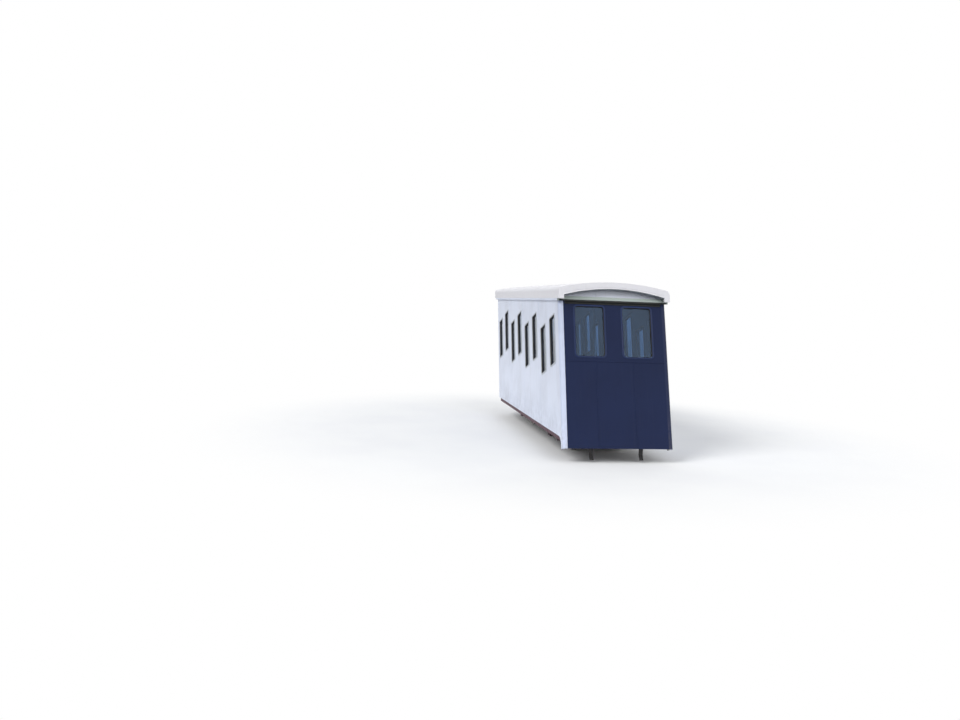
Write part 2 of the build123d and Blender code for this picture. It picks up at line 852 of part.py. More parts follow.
rail_brakes.part.label = "rail_brakes"
export_step(rail_brakes.part, "parts/rail_brakes.step")


def headstock_place(run):
    """Place along the track where a run meets the underside of the headstocks."""
    return run * along + sole_low * track_rise


# Rail guards: bent bars that hang from the headstocks ahead of the wheels
guard_rows = (
    # place of the bar's face under the headstock, direction away from the car's middle
    (headstock_place(wall + headstock_length / 2), -1),
    (headstock_place(body_length - wall - headstock_length / 2), 1),
)
guard_bend = rail_guard_clear + rail_guard_lead / 2
with BuildPart() as rail_guards:
    for place, outward in guard_rows:
        toe = place + outward * rail_guard_lead / 3
        back = -outward * rail_guard_plate
        for side in (-1, 1):
            with BuildSketch(track_plane(side * wheel_side - rail_guard_width / 2)):
                Polygon(
                    (place, sole_low),
                    (place, guard_bend),
                    (toe, rail_guard_clear),
                    (toe + back, rail_guard_clear),
                    (place + back, guard_bend),
                    (place + back, sole_low),
                    align=None,
                )
            extrude(amount=rail_guard_width)
rail_guards.part.label = "rail_guards"
export_step(rail_guards.part, "parts/rail_guards.step")

# Rope anchor: a base under the upper headstock with two cheeks and a cross bore
anchor_end = headstock_place(body_length - wall)
anchor_start = headstock_place(body_length - wall - headstock_length) - anchor_lead
anchor_low = sole_low - anchor_base
eye_place = anchor_end + anchor_lead
eye_height = anchor_low - anchor_drop
with BuildPart() as rope_anchor:
    with BuildSketch(track_plane(-anchor_gap / 2 - 3 * anchor_cheek)):
        Polygon(
            (anchor_start, anchor_low),
            (anchor_end, anchor_low),
            (anchor_end, sole_low),
            (anchor_start, sole_low),
            align=None,
        )
    extrude(amount=anchor_gap + 6 * anchor_cheek)
    for cheek_start in (-anchor_gap / 2 - anchor_cheek, anchor_gap / 2):
        with BuildSketch(track_plane(cheek_start)):
            Polygon(
                (anchor_start + anchor_eye, anchor_low),
                (eye_place, eye_height - anchor_eye),
                (eye_place, eye_height + anchor_eye),
                (anchor_end, anchor_low),
                align=None,
            )
            with Locations((eye_place, eye_height)):
                Circle(anchor_eye)
                Circle(anchor_bore, mode=Mode.SUBTRACT)
        extrude(amount=anchor_cheek)
rope_anchor.part.label = "rope_anchor"
export_step(rope_anchor.part, "parts/rope_anchor.step")

# Benches: boards against the riser or the end wall at the uphill end of each compartment
bench_width = 2 * (inner_half - seat_gap)
bracket_places = (-inner_half / 2, 0, inner_half / 2)
with BuildPart() as benches:
    for index in range(compartments):
        back_run = compartment_run(index + 1) if index < compartments - 1 else body_length - wall
        level = floor_height(index)
        front_run = back_run - bench_depth
        seat_under = level + bench_height - bench_board
        with BuildSketch(side_plane(-bench_width / 2)) as bench_section:
            Polygon(
                (front_run, seat_under),
                (back_run, seat_under),
                (back_run, level + bench_back),
                (back_run - bench_board, level + bench_back),
                (back_run - bench_board, level + bench_height),
                (front_run, level + bench_height),
                align=None,
            )
            nose = bench_section.vertices().group_by(Axis.X)[0]
            chamfer(nose, bench_nose)
        extrude(amount=bench_width)
        for x in bracket_places:
            with BuildSketch(side_plane(x - bench_bracket / 2)):
                Polygon(
                    (back_run, level),
                    (back_run, seat_under),
                    (front_run + bench_bracket, seat_under),
                    (back_run - bench_depth / 2, level),
                    align=None,
                )
            extrude(amount=bench_bracket)
benches.part.label = "benches"
export_step(benches.part, "parts/benches.step")

# Grab poles: one before each bench, from the floor to the roof's crown
pole_top = eave_over_track + arch_at(0, roof_skin) - seat_gap
with BuildPart() as grab_poles:
    for index in range(compartments):
        pole_run = compartment_run(index + 1) - bench_depth - 3 * pole_radius
        with BuildSketch(level_plane(floor_height(index))):
            with Locations((0, pole_run)):
                Circle(pole_radius)
        extrude(amount=floor_low + roof_crown)
    split(bisect_by=parallel_to_track(pole_top), keep=Keep.BOTTOM)
grab_poles.part.label = "grab_poles"
export_step(grab_poles.part, "parts/grab_poles.step")

# Control desk behind the lower end wall
desk_floor = floor_height(0)
desk_start = desk_side - inner_half
with BuildPart() as control_desk:
    with BuildSketch(side_plane(desk_start)):
        Polygon(
            (wall, desk_floor),
            (wall + desk_depth, desk_floor),
            (wall + desk_depth, desk_floor + desk_height - desk_slope),
            (wall + desk_depth / 3, desk_floor + desk_height),
            (wall, desk_floor + desk_height),
            align=None,
        )
    extrude(amount=desk_width)
control_desk.part.label = "control_desk"
export_step(control_desk.part, "parts/control_desk.step")
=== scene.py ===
import json
import logging
import math
from dataclasses import dataclass
from enum import Enum
from functools import cached_property

import bmesh
import bpy
from mathutils import Matrix, Vector


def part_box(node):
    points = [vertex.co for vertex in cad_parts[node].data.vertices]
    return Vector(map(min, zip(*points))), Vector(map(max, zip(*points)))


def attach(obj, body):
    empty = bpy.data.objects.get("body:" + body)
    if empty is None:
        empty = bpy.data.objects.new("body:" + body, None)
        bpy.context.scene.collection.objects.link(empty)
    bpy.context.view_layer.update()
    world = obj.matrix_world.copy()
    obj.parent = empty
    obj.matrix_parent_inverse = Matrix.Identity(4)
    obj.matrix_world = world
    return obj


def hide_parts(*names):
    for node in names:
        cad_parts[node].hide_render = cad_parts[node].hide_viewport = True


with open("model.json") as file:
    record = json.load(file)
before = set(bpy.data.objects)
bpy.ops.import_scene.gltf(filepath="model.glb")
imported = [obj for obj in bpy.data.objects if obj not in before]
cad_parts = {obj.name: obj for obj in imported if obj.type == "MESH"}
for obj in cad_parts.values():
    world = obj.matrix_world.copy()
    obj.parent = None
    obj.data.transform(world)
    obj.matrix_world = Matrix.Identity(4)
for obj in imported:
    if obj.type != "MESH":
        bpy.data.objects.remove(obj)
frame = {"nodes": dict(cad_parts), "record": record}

logging.basicConfig(level=logging.INFO, format="%(message)s")
log = logging.getLogger("car")

Colour = tuple[float, float, float, float]
Triple = tuple[float, float, float]
Point = tuple[float, float]
Outline = list[Point]
Loop = list[tuple[Point, Point]]

TRACK_RISE = 0.30
SLOPE = math.atan(TRACK_RISE)
X, Y, Z = Vector((1, 0, 0)), Vector((0, 1, 0)), Vector((0, 0, 1))
ORIGIN = (0.0, 0.0, 0.0)
BLACK, WHITE = (0.0, 0.0, 0.0, 1.0), (1.0, 1.0, 1.0, 1.0)


class Slot(str, Enum):
    """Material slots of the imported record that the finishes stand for."""

    SIDE = "side_paint"
    END = "end_paint"
    ROOF = "roof_paint"
    TRIM = "trim_paint"
    GLASS = "window_glass"
    FLOOR = "floor_covering"
    WOOD = "bench_wood"
    POLE = "pole_steel"
    DESK = "desk_paint"
    UNDERFRAME = "underframe_paint"
    GEAR = "gear_paint"
    WHEEL = "wheel_steel"
    AXLE = "axle_steel"
    HINGE = "hinge_steel"


class Side(Enum):
    """Sides of the car, by the sign of x."""

    LEFT = -1
    RIGHT = 1

    def __str__(self) -> str:
        """The side's name in the names of pieces."""
        return self.name.lower()


@dataclass(frozen=True)
class CarSizes:
    """Sizes of the car that its detail is set out from, in metres."""

    half: float = 1.1
    wall: float = 0.06
    post: float = 0.09
    compartments: int = 4
    compartment_length: float = 1.56
    lower_margin: float = 0.17
    upper_margin: float = 0.09
    headroom: float = 2.12
    window_width: float = 0.43
    window_height: float = 1.0
    window_sill: float = 0.857
    end_window_width: float = 0.61
    end_window_height: float = 1.03
    end_window_drop: float = 0.135
    end_pillar: float = 0.36
    door_width: float = 0.7
    door_height: float = 1.93
    door_leaf: float = 0.04
    foot_width: float = 0.12
    foot_drop: float = 0.19
    foot_round: float = 0.22
    roof_reach: float = 0.04
    roof_edge: float = 0.225
    roof_crown: float = 0.365
    roof_skin: float = 0.04
    roof_overhang: float = 0.17
    cornice_height: float = 0.045

    @property
    def body_length(self) -> float:
        """Level length of the body between its end walls' outer faces."""
        return self.compartments * self.compartment_length + self.lower_margin + self.upper_margin

    @property
    def roof_half(self) -> float:
        """Half the roof's width."""
        return self.half + self.roof_reach

    @property
    def inner_half(self) -> float:
        """Half the width between the side walls."""
        return self.half - self.wall


@dataclass(frozen=True)
class Sheet:
    """A flat working plane: its origin, the directions of its two axes, and its normal."""

    origin: Vector
    u: Vector
    v: Vector
    n: Vector

    def point(self, u: float, v: float, n: float = 0.0) -> Vector:
        """Point at two distances in the plane and one out of it."""
        return self.origin + self.u * u + self.v * v + self.n * n

    def moved(self, u: float, v: float, n: float = 0.0) -> "Sheet":
        """The same plane with its origin moved."""
        return Sheet(self.point(u, v, n), self.u, self.v, self.n)


@dataclass(frozen=True)
class End:
    """An end of the car: its name, the run of its wall's outer face, and the way that it faces."""

    name: str
    run: float
    out: int


@dataclass(frozen=True)
class CarFrame:
    """Places in the car: run uphill on the level, and plumb height over the wheel plane.

    Attributes:
        sizes: the car's sizes.
        shift: place along the rails of run 0 at height 0.
        eave: plumb height of the eave over the track.
        skirt: plumb height of the skirt over the track.
        axles: place along the rails and height of each axle's middle, by its end's name.
    """

    sizes: CarSizes
    shift: float
    eave: float
    skirt: float
    axles: dict[str, Point]

    @classmethod
    def from_boxes(cls) -> "CarFrame":
        """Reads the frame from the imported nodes.

        Returns:
            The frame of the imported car.
        """
        middles = {end: sum(corners(f"axle_{end}"), Vector()) / 2 for end in ("lower", "upper")}
        axles = {end: (middle.y, middle.z) for end, middle in middles.items()}
        foot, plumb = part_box("lower_end_wall")[0], 1 / math.cos(SLOPE)
        eave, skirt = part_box("cornice")[1][2] * plumb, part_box("upper_end_wall")[0][2] * plumb
        return cls(CarSizes(), foot[1] - foot[2] * TRACK_RISE, eave, skirt, axles)

    @property
    def ends(self) -> tuple[End, End]:
        """The lower and the upper end."""
        return End("lower", 0.0, -1), End("upper", self.sizes.body_length, 1)

    def at(self, x: float, run: float, height: float) -> Vector:
        """Point of the frame at a place in the car."""
        y = self.shift + run * math.cos(SLOPE) + height * math.sin(SLOPE)
        return Vector((x, y, -run * math.sin(SLOPE) + height * math.cos(SLOPE)))

    def turn(self, x: float, run: float, height: float) -> Vector:
        """Direction in the frame of a direction in the car."""
        return self.at(x, run, height) - self.at(0, 0, 0)

    def over(self, over_track: float, run: float) -> float:
        """Height of a line parallel to the track, at a run."""
        return over_track + TRACK_RISE * run

    def compartment(self, index: int) -> float:
        """Run at which a compartment begins."""
        return self.sizes.lower_margin + index * self.sizes.compartment_length

    def floor(self, index: int) -> float:
        """Height of a compartment's floor."""
        return self.over(self.eave - self.sizes.headroom, self.compartment(index))

    def window(self, index: int, place: int) -> Point:
        """Run and height of the centre of a compartment's first or second side window."""
        run = self.compartment(index) + (place + 0.5) * self.sizes.compartment_length / 2
        return run, self.floor(index) + self.sizes.window_sill + self.sizes.window_height / 2

    def end_windows(self, end: End, inset: float = 0.0) -> list[Sheet]:
        """Planes about the middles of an end's windows, facing in where they are inset.

        Args:
            end: the end.
            inset: how far inside the outer face they lie.

        Returns:
            The planes, left and right.
        """
        sizes = self.sizes
        x = (sizes.end_pillar + sizes.end_window_width) / 2
        height = self.over(self.eave, end.run) - sizes.end_window_drop - sizes.end_window_height / 2
        run, out = end.run - end.out * inset, -end.out if inset else end.out
        return [self.end_sheet(side.value * x, run, height, out) for side in Side]

    def arch(self, x: float, inset: float = 0.0) -> float:
        """Height of the roof's arc over the eave.

        Args:
            x: place across the car.
            inset: how far inside the roof's outer face the arc lies.

        Returns:
            The height.
        """
        half, rise = self.sizes.roof_half, self.sizes.roof_crown - self.sizes.roof_edge
        radius = (half**2 + rise**2) / (2 * rise)
        return self.sizes.roof_crown - radius + math.sqrt((radius - inset) ** 2 - x**2)

    def side_sheet(self, side: Side, run: float, height: float, inset: float = 0.0) -> Sheet:
        """Plane along an outer face, or facing in where it is inset: u uphill, v straight up."""
        x, out = side.value * (self.sizes.half - inset), -side.value if inset > 0 else side.value
        return Sheet(self.at(x, run, height), self.turn(0, 1, 0), self.turn(0, 0, 1), X * out)

    def end_sheet(self, x: float, run: float, height: float, out: int) -> Sheet:
        """Plumb plane across the car: u to the right, v straight up."""
        return Sheet(self.at(x, run, height), X, self.turn(0, 0, 1), self.turn(0, out, 0))

    def level_sheet(self, x: float, run: float, height: float) -> Sheet:
        """Level plane: u to the right, v uphill."""
        return Sheet(self.at(x, run, height), X, self.turn(0, 1, 0), self.turn(0, 0, 1))

    def lower_edge(self, side: Side) -> list[Vector]:
        """Sets out a side's lower edge: up from the lower post's foot, and round to the skirt.

        Args:
            side: the side.

        Returns:
            The edge's points.
        """
        sizes = self.sizes
        corner = Vector((sizes.foot_width, self.over(self.skirt, sizes.foot_width)))
        down, along = Vector((0.0, -1.0)), Vector((math.cos(SLOPE), math.sin(SLOPE)))
        between = down.angle(along) / 2
        reach = sizes.foot_round / math.tan(between)
        centre = corner + (down + along).normalized() * (sizes.foot_round / math.sin(between))
        first, last = corner + down * reach - centre, corner + along * reach - centre
        line = [(sizes.foot_width, self.skirt - sizes.foot_drop)]
        for angle in even(0.0, -first.angle_signed(last), 11):
            c, s = math.cos(angle), math.sin(angle)
            line.append((centre.x + first.x * c - first.y * s, centre.y + first.x * s + first.y * c))
        end = sizes.body_length - sizes.post
        line.append((end, self.over(self.skirt, end)))
        return [self.at(side.value * sizes.half, *point) for point in line]


def corners(name: str) -> tuple[Vector, Vector]:
    """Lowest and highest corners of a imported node's box."""
    low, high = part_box(name)
    return Vector(low), Vector(high)


def even(first: float, last: float, count: int) -> list[float]:
    """Numbers at even steps from the first to the last."""
    return [first + (last - first) * step / (count - 1) for step in range(count)]


def row(count: int, pitch: float) -> list[float]:
    """Places of a row of like things about its middle."""
    return [(step + 0.5 - count / 2) * pitch for step in range(count)]


def circle(count: int, radius: float, start: float) -> Outline:
    """Points evenly round a circle, from a starting angle in degrees."""
    angles = [math.radians(start + 360 * step / count) for step in range(count)]
    return [(radius * math.cos(angle), radius * math.sin(angle)) for angle in angles]


def rounded_loop(width: float, height: float, radius: float, steps: int = 7) -> Loop:
    """Sets out a rectangle with round corners about its middle.

    Args:
        width: full width.
        height: full height.
        radius: corner radius.
        steps: segments in each corner.

    Returns:
        Each point with its outward direction, counter-clockwise.
    """
    loop = []
    for quarter, (sx, sy) in enumerate(((1, 1), (-1, 1), (-1, -1), (1, -1))):
        for step in range(steps + 1):
            angle = math.radians(90) * (quarter + step / steps)
            out = (math.cos(angle), math.sin(angle))
            x = sx * (width / 2 - radius) + radius * out[0]
            y = sy * (height / 2 - radius) + radius * out[1]
            loop.append(((x, y), out))
    return loop


class Maker:
    """Builds one piece out of swept, turned and bevelled forms."""

    open: list["Maker"] = []

    def __init__(
        self, name: str, finish: "Paint", slot: Slot | None = None, ride: str = "body", nodes: tuple[str, ...] = ()
    ) -> None:
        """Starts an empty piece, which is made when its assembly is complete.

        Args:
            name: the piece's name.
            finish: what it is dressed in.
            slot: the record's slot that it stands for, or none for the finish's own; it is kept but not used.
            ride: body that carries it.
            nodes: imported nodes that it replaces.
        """
        self.work = bmesh.new()
        self.name, self.finish, self.slot, self.ride, self.nodes = name, finish, slot or finish.slot, ride, nodes
        Maker.open.append(self)

    def block(self, sheet: Sheet, sizes: Triple, ease: float = 0.0) -> None:
        """Adds a block about a plane's origin.

        Args:
            sheet: plane whose axes the block follows.
            sizes: lengths along the plane's u, v and n.
            ease: width of the rounding on its edges.
        """
        made = bmesh.ops.create_cube(self.work, size=1.0)["verts"]
        for corner in made:
            corner.co = sheet.point(*(part * size for part, size in zip(corner.co, sizes)))
        if ease:
            edges = list({edge for corner in made for edge in corner.link_edges})
            bmesh.ops.bevel(
                self.work, geom=edges, offset=ease, offset_type="OFFSET", segments=2, profile=0.5, affect="EDGES"
            )

    def rings(self, rings: list[list[Vector]], closed: bool = False) -> None:
        """Joins rings of points into a skin.

        Args:
            rings: rings with the same number of points each.
            closed: whether the last ring joins the first; otherwise both ends are capped.
        """
        rows = [[self.work.verts.new(point) for point in ring] for ring in rings]
        for first, second in zip(rows, rows[1:] + (rows[:1] if closed else [])):
            for index in range(len(first)):
                after = (index + 1) % len(first)
                self.work.faces.new((first[index], first[after], second[after], second[index]))
        if not closed:
            self.work.faces.new(rows[0])
            self.work.faces.new(list(reversed(rows[-1])))

    def hoop(self, sheet: Sheet, loop: Loop, section: Outline) -> None:
        """Sweeps a section round a closed loop.

        Args:
            sheet: plane that the loop lies in.
            loop: points with their outward directions.
            section: points as distance outwards from the loop and distance out of the plane.
        """
        rings = [[sheet.point(x + u * away, y + v * away, n) for away, n in section] for (x, y), (u, v) in loop]
        self.rings(rings, closed=True)

    def plate(self, sheet: Sheet, outline: Outline, thickness: float, ease: float) -> None:
        """Adds a flat plate standing on a plane.

        Args:
            sheet: plane that the plate stands on.
            outline: corners in the plane.
            thickness: how far it stands out.
            ease: width of the bevel round its outer face.
        """
        rings = []
        for inset, level in ((0.0, 0.0), (0.0, thickness - ease), (ease, thickness)):
            ring = []
            for index in range(len(outline)):
                here, before, after = (Vector(outline[(index + step) % len(outline)]) for step in (0, -1, 1))
                arrive, leave = (here - before).normalized(), (after - here).normalized()
                inward = Vector((-arrive.y, arrive.x)) + Vector((-leave.y, leave.x))
                moved = here + inward * (inset / max(inward.length_squared / 2, 0.2))
                ring.append(sheet.point(moved.x, moved.y, level))
            rings.append(ring)
        self.rings(rings)

    def turned(self, sheet: Sheet, section: Outline, count: int = 32) -> None:
        """Turns a section about a plane's normal, with flat ends.

        Args:
            sheet: plane square to the turning axis, with its origin on it.
            section: points as radius and distance along the normal, from one end to the other.
            count: points in each ring.
        """
        self.rings([[sheet.point(u, v, level) for u, v in circle(count, radius, 0)] for radius, level in section])

    def band(self, sheet: Sheet, section: Outline, count: int) -> None:
        """Turns a closed section into a ring about a plane's normal.

        Args:
            sheet: plane square to the turning axis, with its origin on it.
            section: closed outline as radius and distance along the normal.
            count: places round the ring.
        """
        spokes = circle(count, 1.0, 0)
        self.rings([[sheet.point(r * u, r * v, level) for r, level in section] for u, v in spokes], closed=True)

    def rivet(self, sheet: Sheet, radius: float = 0.005, height: float = 0.003) -> None:
        """Adds a round-headed rivet at a plane's origin."""
        self.turned(sheet, [(radius, 0.0), (radius * 0.85, height * 0.62), (radius * 0.42, height)], 8)

    def bolt(self, sheet: Sheet, radius: float) -> None:
        """Adds a washer, a six-sided head and a stud's end at a plane's origin.

        Args:
            sheet: plane square to it.
            radius: radius of its head.
        """
        for count, section in (
            (16, ((1.45, 0.0), (1.4, 0.2))),
            (6, ((1.0, 0.2), (1.0, 0.86), (0.86, 1.0))),
            (10, ((0.5, 1.0), (0.5, 1.2), (0.4, 1.3))),
        ):
            self.turned(sheet, [(radius * r, radius * level) for r, level in section], count)

    def rod(self, points: list[Vector], radius: float, count: int = 10) -> None:
        """Sweeps a round section along a line of points.

        Args:
            points: points along the middle.
            radius: the section's radius.
            count: points in the section.
        """
        rings, side = [], None
        for index, point in enumerate(points):
            ahead = (points[min(index + 1, len(points) - 1)] - points[max(index - 1, 0)]).normalized()
            side = ahead.orthogonal() if side is None else side
            side = (side - ahead * side.dot(ahead)).normalized()
            other = ahead.cross(side)
            rings.append([point + side * u + other * v for u, v in circle(count, radius, 0)])
        self.rings(rings)

    def rail(self, points: list[Vector], out: Vector, section: Outline) -> None:
        """Sweeps a flat-backed section along a line of points.

        Args:
            points: points along the section's zero.
            out: direction of the section's second number.
            section: closed outline as distance across and distance out.
        """
        rings = []
        for index, point in enumerate(points):
            arrive = (point - points[index - 1]).normalized() if index else None
            leave = (points[index + 1] - point).normalized() if index + 1 < len(points) else arrive
            across = out.cross(((arrive or leave) + leave).normalized())
            widen = 1 / max(across.dot(out.cross(leave)), 0.3)
            rings.append([point + across * (a * widen) + out * b for a, b in section])
        self.rings(rings)

    @classmethod
    def close(cls) -> None:
        """Turns every open piece into an object of the scene."""
        for made in cls.open:
            bmesh.ops.recalc_face_normals(made.work, faces=made.work.faces)
            data = bpy.data.meshes.new(made.name)
            made.work.to_mesh(data)
            made.work.free()
            data.materials.append(made.finish.material())
            data.shade_smooth()
            data.set_sharp_from_angle(angle=math.radians(35))
            piece = bpy.data.objects.new(made.name, data)
            bpy.context.scene.collection.objects.link(piece)
            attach(piece, made.ride)
            if made.nodes:
                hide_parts(*made.nodes)
            log.info("%s: %d faces on %s", made.name, len(data.polygons), made.ride)
        cls.open.clear()


@dataclass(frozen=True)
class Field:
    """An output in a shader tree, with arithmetic: a value that changes over the surface."""

    nodes: "Nodes"
    socket: bpy.types.NodeSocket

    def maths(self, operation: str, other: object = 0.0) -> "Field":
        """One step of arithmetic with a number or another field."""
        return self.nodes.field("ShaderNodeMath", 0, {0: self, 1: other}, operation=operation)

    def __add__(self, other: object) -> "Field":
        """Sum with a number or another field."""
        return self.maths("ADD", other)

    def __sub__(self, other: object) -> "Field":
        """Difference from a number or another field."""
        return self.maths("SUBTRACT", other)

    def __mul__(self, other: object) -> "Field":
        """Product with a number or another field."""
        return self.maths("MULTIPLY", other)

    def ramp(self, low: object, high: object, start: float = 0.0, end: float = 1.0) -> "Field":
        """Maps the range from low to high smoothly onto the one from start to end."""
        given = {"Value": self, "From Min": low, "From Max": high, "To Min": start, "To Max": end}
        return self.nodes.field("ShaderNodeMapRange", "Result", given, interpolation_type="SMOOTHSTEP", clamp=True)

    def mix(self, first: object, second: object) -> "Field":
        """Mixes two colours, with this field as the share of the second."""
        return self.nodes.field("ShaderNodeMix", 2, {0: self, 6: first, 7: second}, data_type="RGBA", clamp_factor=True)

    def noise(self, scale: float, detail: float = 3.0, rough: float = 0.55) -> "Field":
        """Cloudy noise at this field's places."""
        given = {"Vector": self, "Scale": scale, "Detail": detail, "Roughness": rough}
        return self.nodes.field("ShaderNodeTexNoise", "Fac", given)

    def stretched(self, *scale: float) -> "Field":
        """This vector, scaled along each of its axes."""
        return self.nodes.field("ShaderNodeMapping", "Vector", {"Vector": self, "Scale": scale})

    def part(self, axis: int) -> "Field":
        """One part of this vector."""
        return self.nodes.field("ShaderNodeSeparateXYZ", axis, {0: self})


class Nodes:
    """Lays out the nodes of one shader tree and links them."""

    def __init__(self, tree: bpy.types.NodeTree) -> None:
        """Keeps the tree that nodes are added to."""
        self.tree = tree

    def feed(self, inputs: bpy.types.NodeInputs, values: dict) -> None:
        """Links fields to inputs, and sets plain values on them.

        Args:
            inputs: a node's inputs.
            values: fields, numbers, colours or vectors, by the input's name or number.
        """
        for name, value in values.items():
            if isinstance(value, Field):
                self.tree.links.new(value.socket, inputs[name])
            else:
                inputs[name].default_value = value

    def add(self, kind: str, values: dict, **settings: object) -> bpy.types.Node:
        """Adds a node.

        Args:
            kind: the node's Blender type.
            values: what its inputs are fed with.
            settings: its properties by name.

        Returns:
            The new node.
        """
        node = self.tree.nodes.new(kind)
        for name, value in settings.items():
            setattr(node, name, value)
        self.feed(node.inputs, values)
        return node

    def field(self, kind: str, output: str | int, values: dict, **settings: object) -> Field:
        """Adds a node and gives one of its outputs."""
        return Field(self, self.add(kind, values, **settings).outputs[output])

    def fill(self, node: str, **values: object) -> None:
        """Feeds a node that is there already; underlines in the inputs' names stand for spaces."""
        self.feed(self.tree.nodes[node].inputs, {name.replace("_", " "): value for name, value in values.items()})

    def coordinate(self, kind: str) -> Field:
        """The object's own coordinates, or its normal."""
        return self.field("ShaderNodeTexCoord", kind, {})

    @cached_property
    def place(self) -> Field:
        """The place on the car: x, run and plumb height."""
        return self.effect("Plumb", "Place")

    def effect(self, name: str, output: str = "Mask", **values: object) -> Field:
        """Places an effect; underlines in the inputs' names stand for spaces."""
        given = {label.replace("_", " "): value for label, value in values.items()}
        return self.field("ShaderNodeGroup", output, given, node_tree=Effect.made[name])

    def patches(self, scale: float) -> tuple[Field, Field]:
        """Large and small patches over the car."""
        large = self.effect("Patches", "Large", Place=self.place, Scale=scale)
        return large, Field(self, large.socket.node.outputs["Small"])

    def bump(self, height: Field, strength: float, distance: float) -> None:
        """Feeds a height to the shader's normal; distance is the depth of a height of one."""
        values = {"Strength": strength, "Distance": distance, "Height": height}
        self.fill("Principled BSDF", Normal=self.field("ShaderNodeBump", "Normal", values))


class Effect(Nodes):
    """A node group that more than one material uses, built once."""

    made: dict[str, bpy.types.NodeTree] = {}

    def __init__(self, name: str, **inputs: object) -> None:
        """Begins the group.

        Args:
            name: the group's name.
            inputs: plain values of its inputs by name, with underlines for spaces.
        """
        super().__init__(bpy.data.node_groups.new(name, "ShaderNodeTree"))
        for label, value in inputs.items():
            kind = "NodeSocketVector" if isinstance(value, tuple) else "NodeSocketFloat"
            given = self.tree.interface.new_socket(name=label.replace("_", " "), in_out="INPUT", socket_type=kind)
            given.default_value = value
        self.start = self.add("NodeGroupInput", {})
        self.made[name] = self.tree

    def __getitem__(self, name: str) -> Field:
        """One of the group's inputs."""
        return Field(self, self.start.outputs[name])

    def give(self, kind: str = "Float", **outputs: Field) -> None:
        """Ends the group with its outputs by name.

        Args:
            kind: type of the outputs.
            outputs: fields by the outputs' names.
        """
        for name in outputs:
            self.tree.interface.new_socket(name=name, in_out="OUTPUT", socket_type=f"NodeSocket{kind}")
        self.add("NodeGroupOutput", outputs)

    @classmethod
    def build(cls, shift: float) -> None:
        """Builds every effect of the car, with run 0 at a place along the rails.

        Args:
            shift: place along the rails of run 0 at height 0.
        """
        cls.plumb(shift)
        for make in (cls.streaks, cls.dust, cls.patchy, cls.inside, cls.peel, cls.scratches):
            make()

    @staticmethod
    def plumb(shift: float) -> None:
        """Turns object coordinates into x, run and plumb height.

        Args:
            shift: place along the rails of run 0 at height 0.
        """
        group = Effect("Plumb")
        place = {"Vector": group.coordinate("Object"), "Rotation": (SLOPE, 0.0, 0.0)}
        place["Location"] = (0.0, -shift * math.cos(SLOPE), -shift * math.sin(SLOPE))
        group.give("Vector", Place=group.field("ShaderNodeMapping", "Vector", place))

    @staticmethod
    def streaks() -> None:
        """Marks left by running water: long upright streaks, broken up along their length."""
        group = Effect("Streaks", Place=ORIGIN, Cover=0.5)
        fine = group["Place"].stretched(26, 26, 0.9).noise(1.0, 4.0, 0.6)
        broad = group["Place"].stretched(5, 5, 0.5).noise(1.0, 2.0)
        group.give(Mask=fine.ramp(0.48, 0.72) * broad.ramp(0.35, 0.65) * group["Cover"])

    @staticmethod
    def dust() -> None:
        """Dust and splash that thin out over a height, with a ragged upper edge."""
        group = Effect("Dust", Height=0.0, Full_Below=0.3, Gone_Above=1.0, Place=ORIGIN)
        cloud = group["Place"].noise(7.0, 5.0, 0.62)
        level = group["Height"] + (cloud - 0.5) * 0.5
        group.give(Mask=level.ramp(group["Full Below"], group["Gone Above"], 1.0, 0.0) * cloud.ramp(0.3, 0.75))

    @staticmethod
    def patchy() -> None:
        """Soft uneven patches, large and small."""
        group = Effect("Patches", Place=ORIGIN, Scale=1.0)
        given = {0: group["Place"], "Scale": group["Scale"]}
        scaled = group.field("ShaderNodeVectorMath", 0, given, operation="SCALE")
        group.give(Large=scaled.noise(1.7, 3.0), Small=scaled.noise(38.0, 4.0, 0.6))

    @staticmethod
    def inside() -> None:
        """Tells the cabin's inner faces from the outer ones by their place."""
        group = Effect("Inside", Place=ORIGIN, Half=1.0, Run_Start=0.0, Run_End=1.0)
        across = group["Place"].part(0).maths("ABSOLUTE").maths("LESS_THAN", group["Half"])
        run = group["Place"].part(1)
        along = run.maths("GREATER_THAN", group["Run Start"]) * run.maths("LESS_THAN", group["Run End"])
        group.give(Mask=across * along)

    @staticmethod
    def peel() -> None:
        """Surface of sprayed or brushed paint: fine dimples over a slow ripple."""
        group = Effect("Peel", Place=ORIGIN, Strength=1.0)
        both = group["Place"].noise(420.0, 2.0) * 0.12 + group["Place"].noise(6.0, 1.0)
        group.give(Height=both * group["Strength"])

    @staticmethod
    def scratches() -> None:
        """Fine marks that run one way, as on drawn, turned or scuffed surfaces."""
        group = Effect("Scratches", Place=ORIGIN, Cover=0.5)
        group.give(Mask=group["Place"].noise(1.0, 6.0, 0.7).ramp(0.45, 0.75) * group["Cover"])


def shade(red: int, green: int, blue: int) -> Colour:
    """Turns a screen colour, 0 to 255, into a linear one."""
    parts = (part / 255 for part in (red, green, blue))
    return (*(part / 12.92 if part <= 0.04045 else ((part + 0.055) / 1.055) ** 2.4 for part in parts), 1.0)


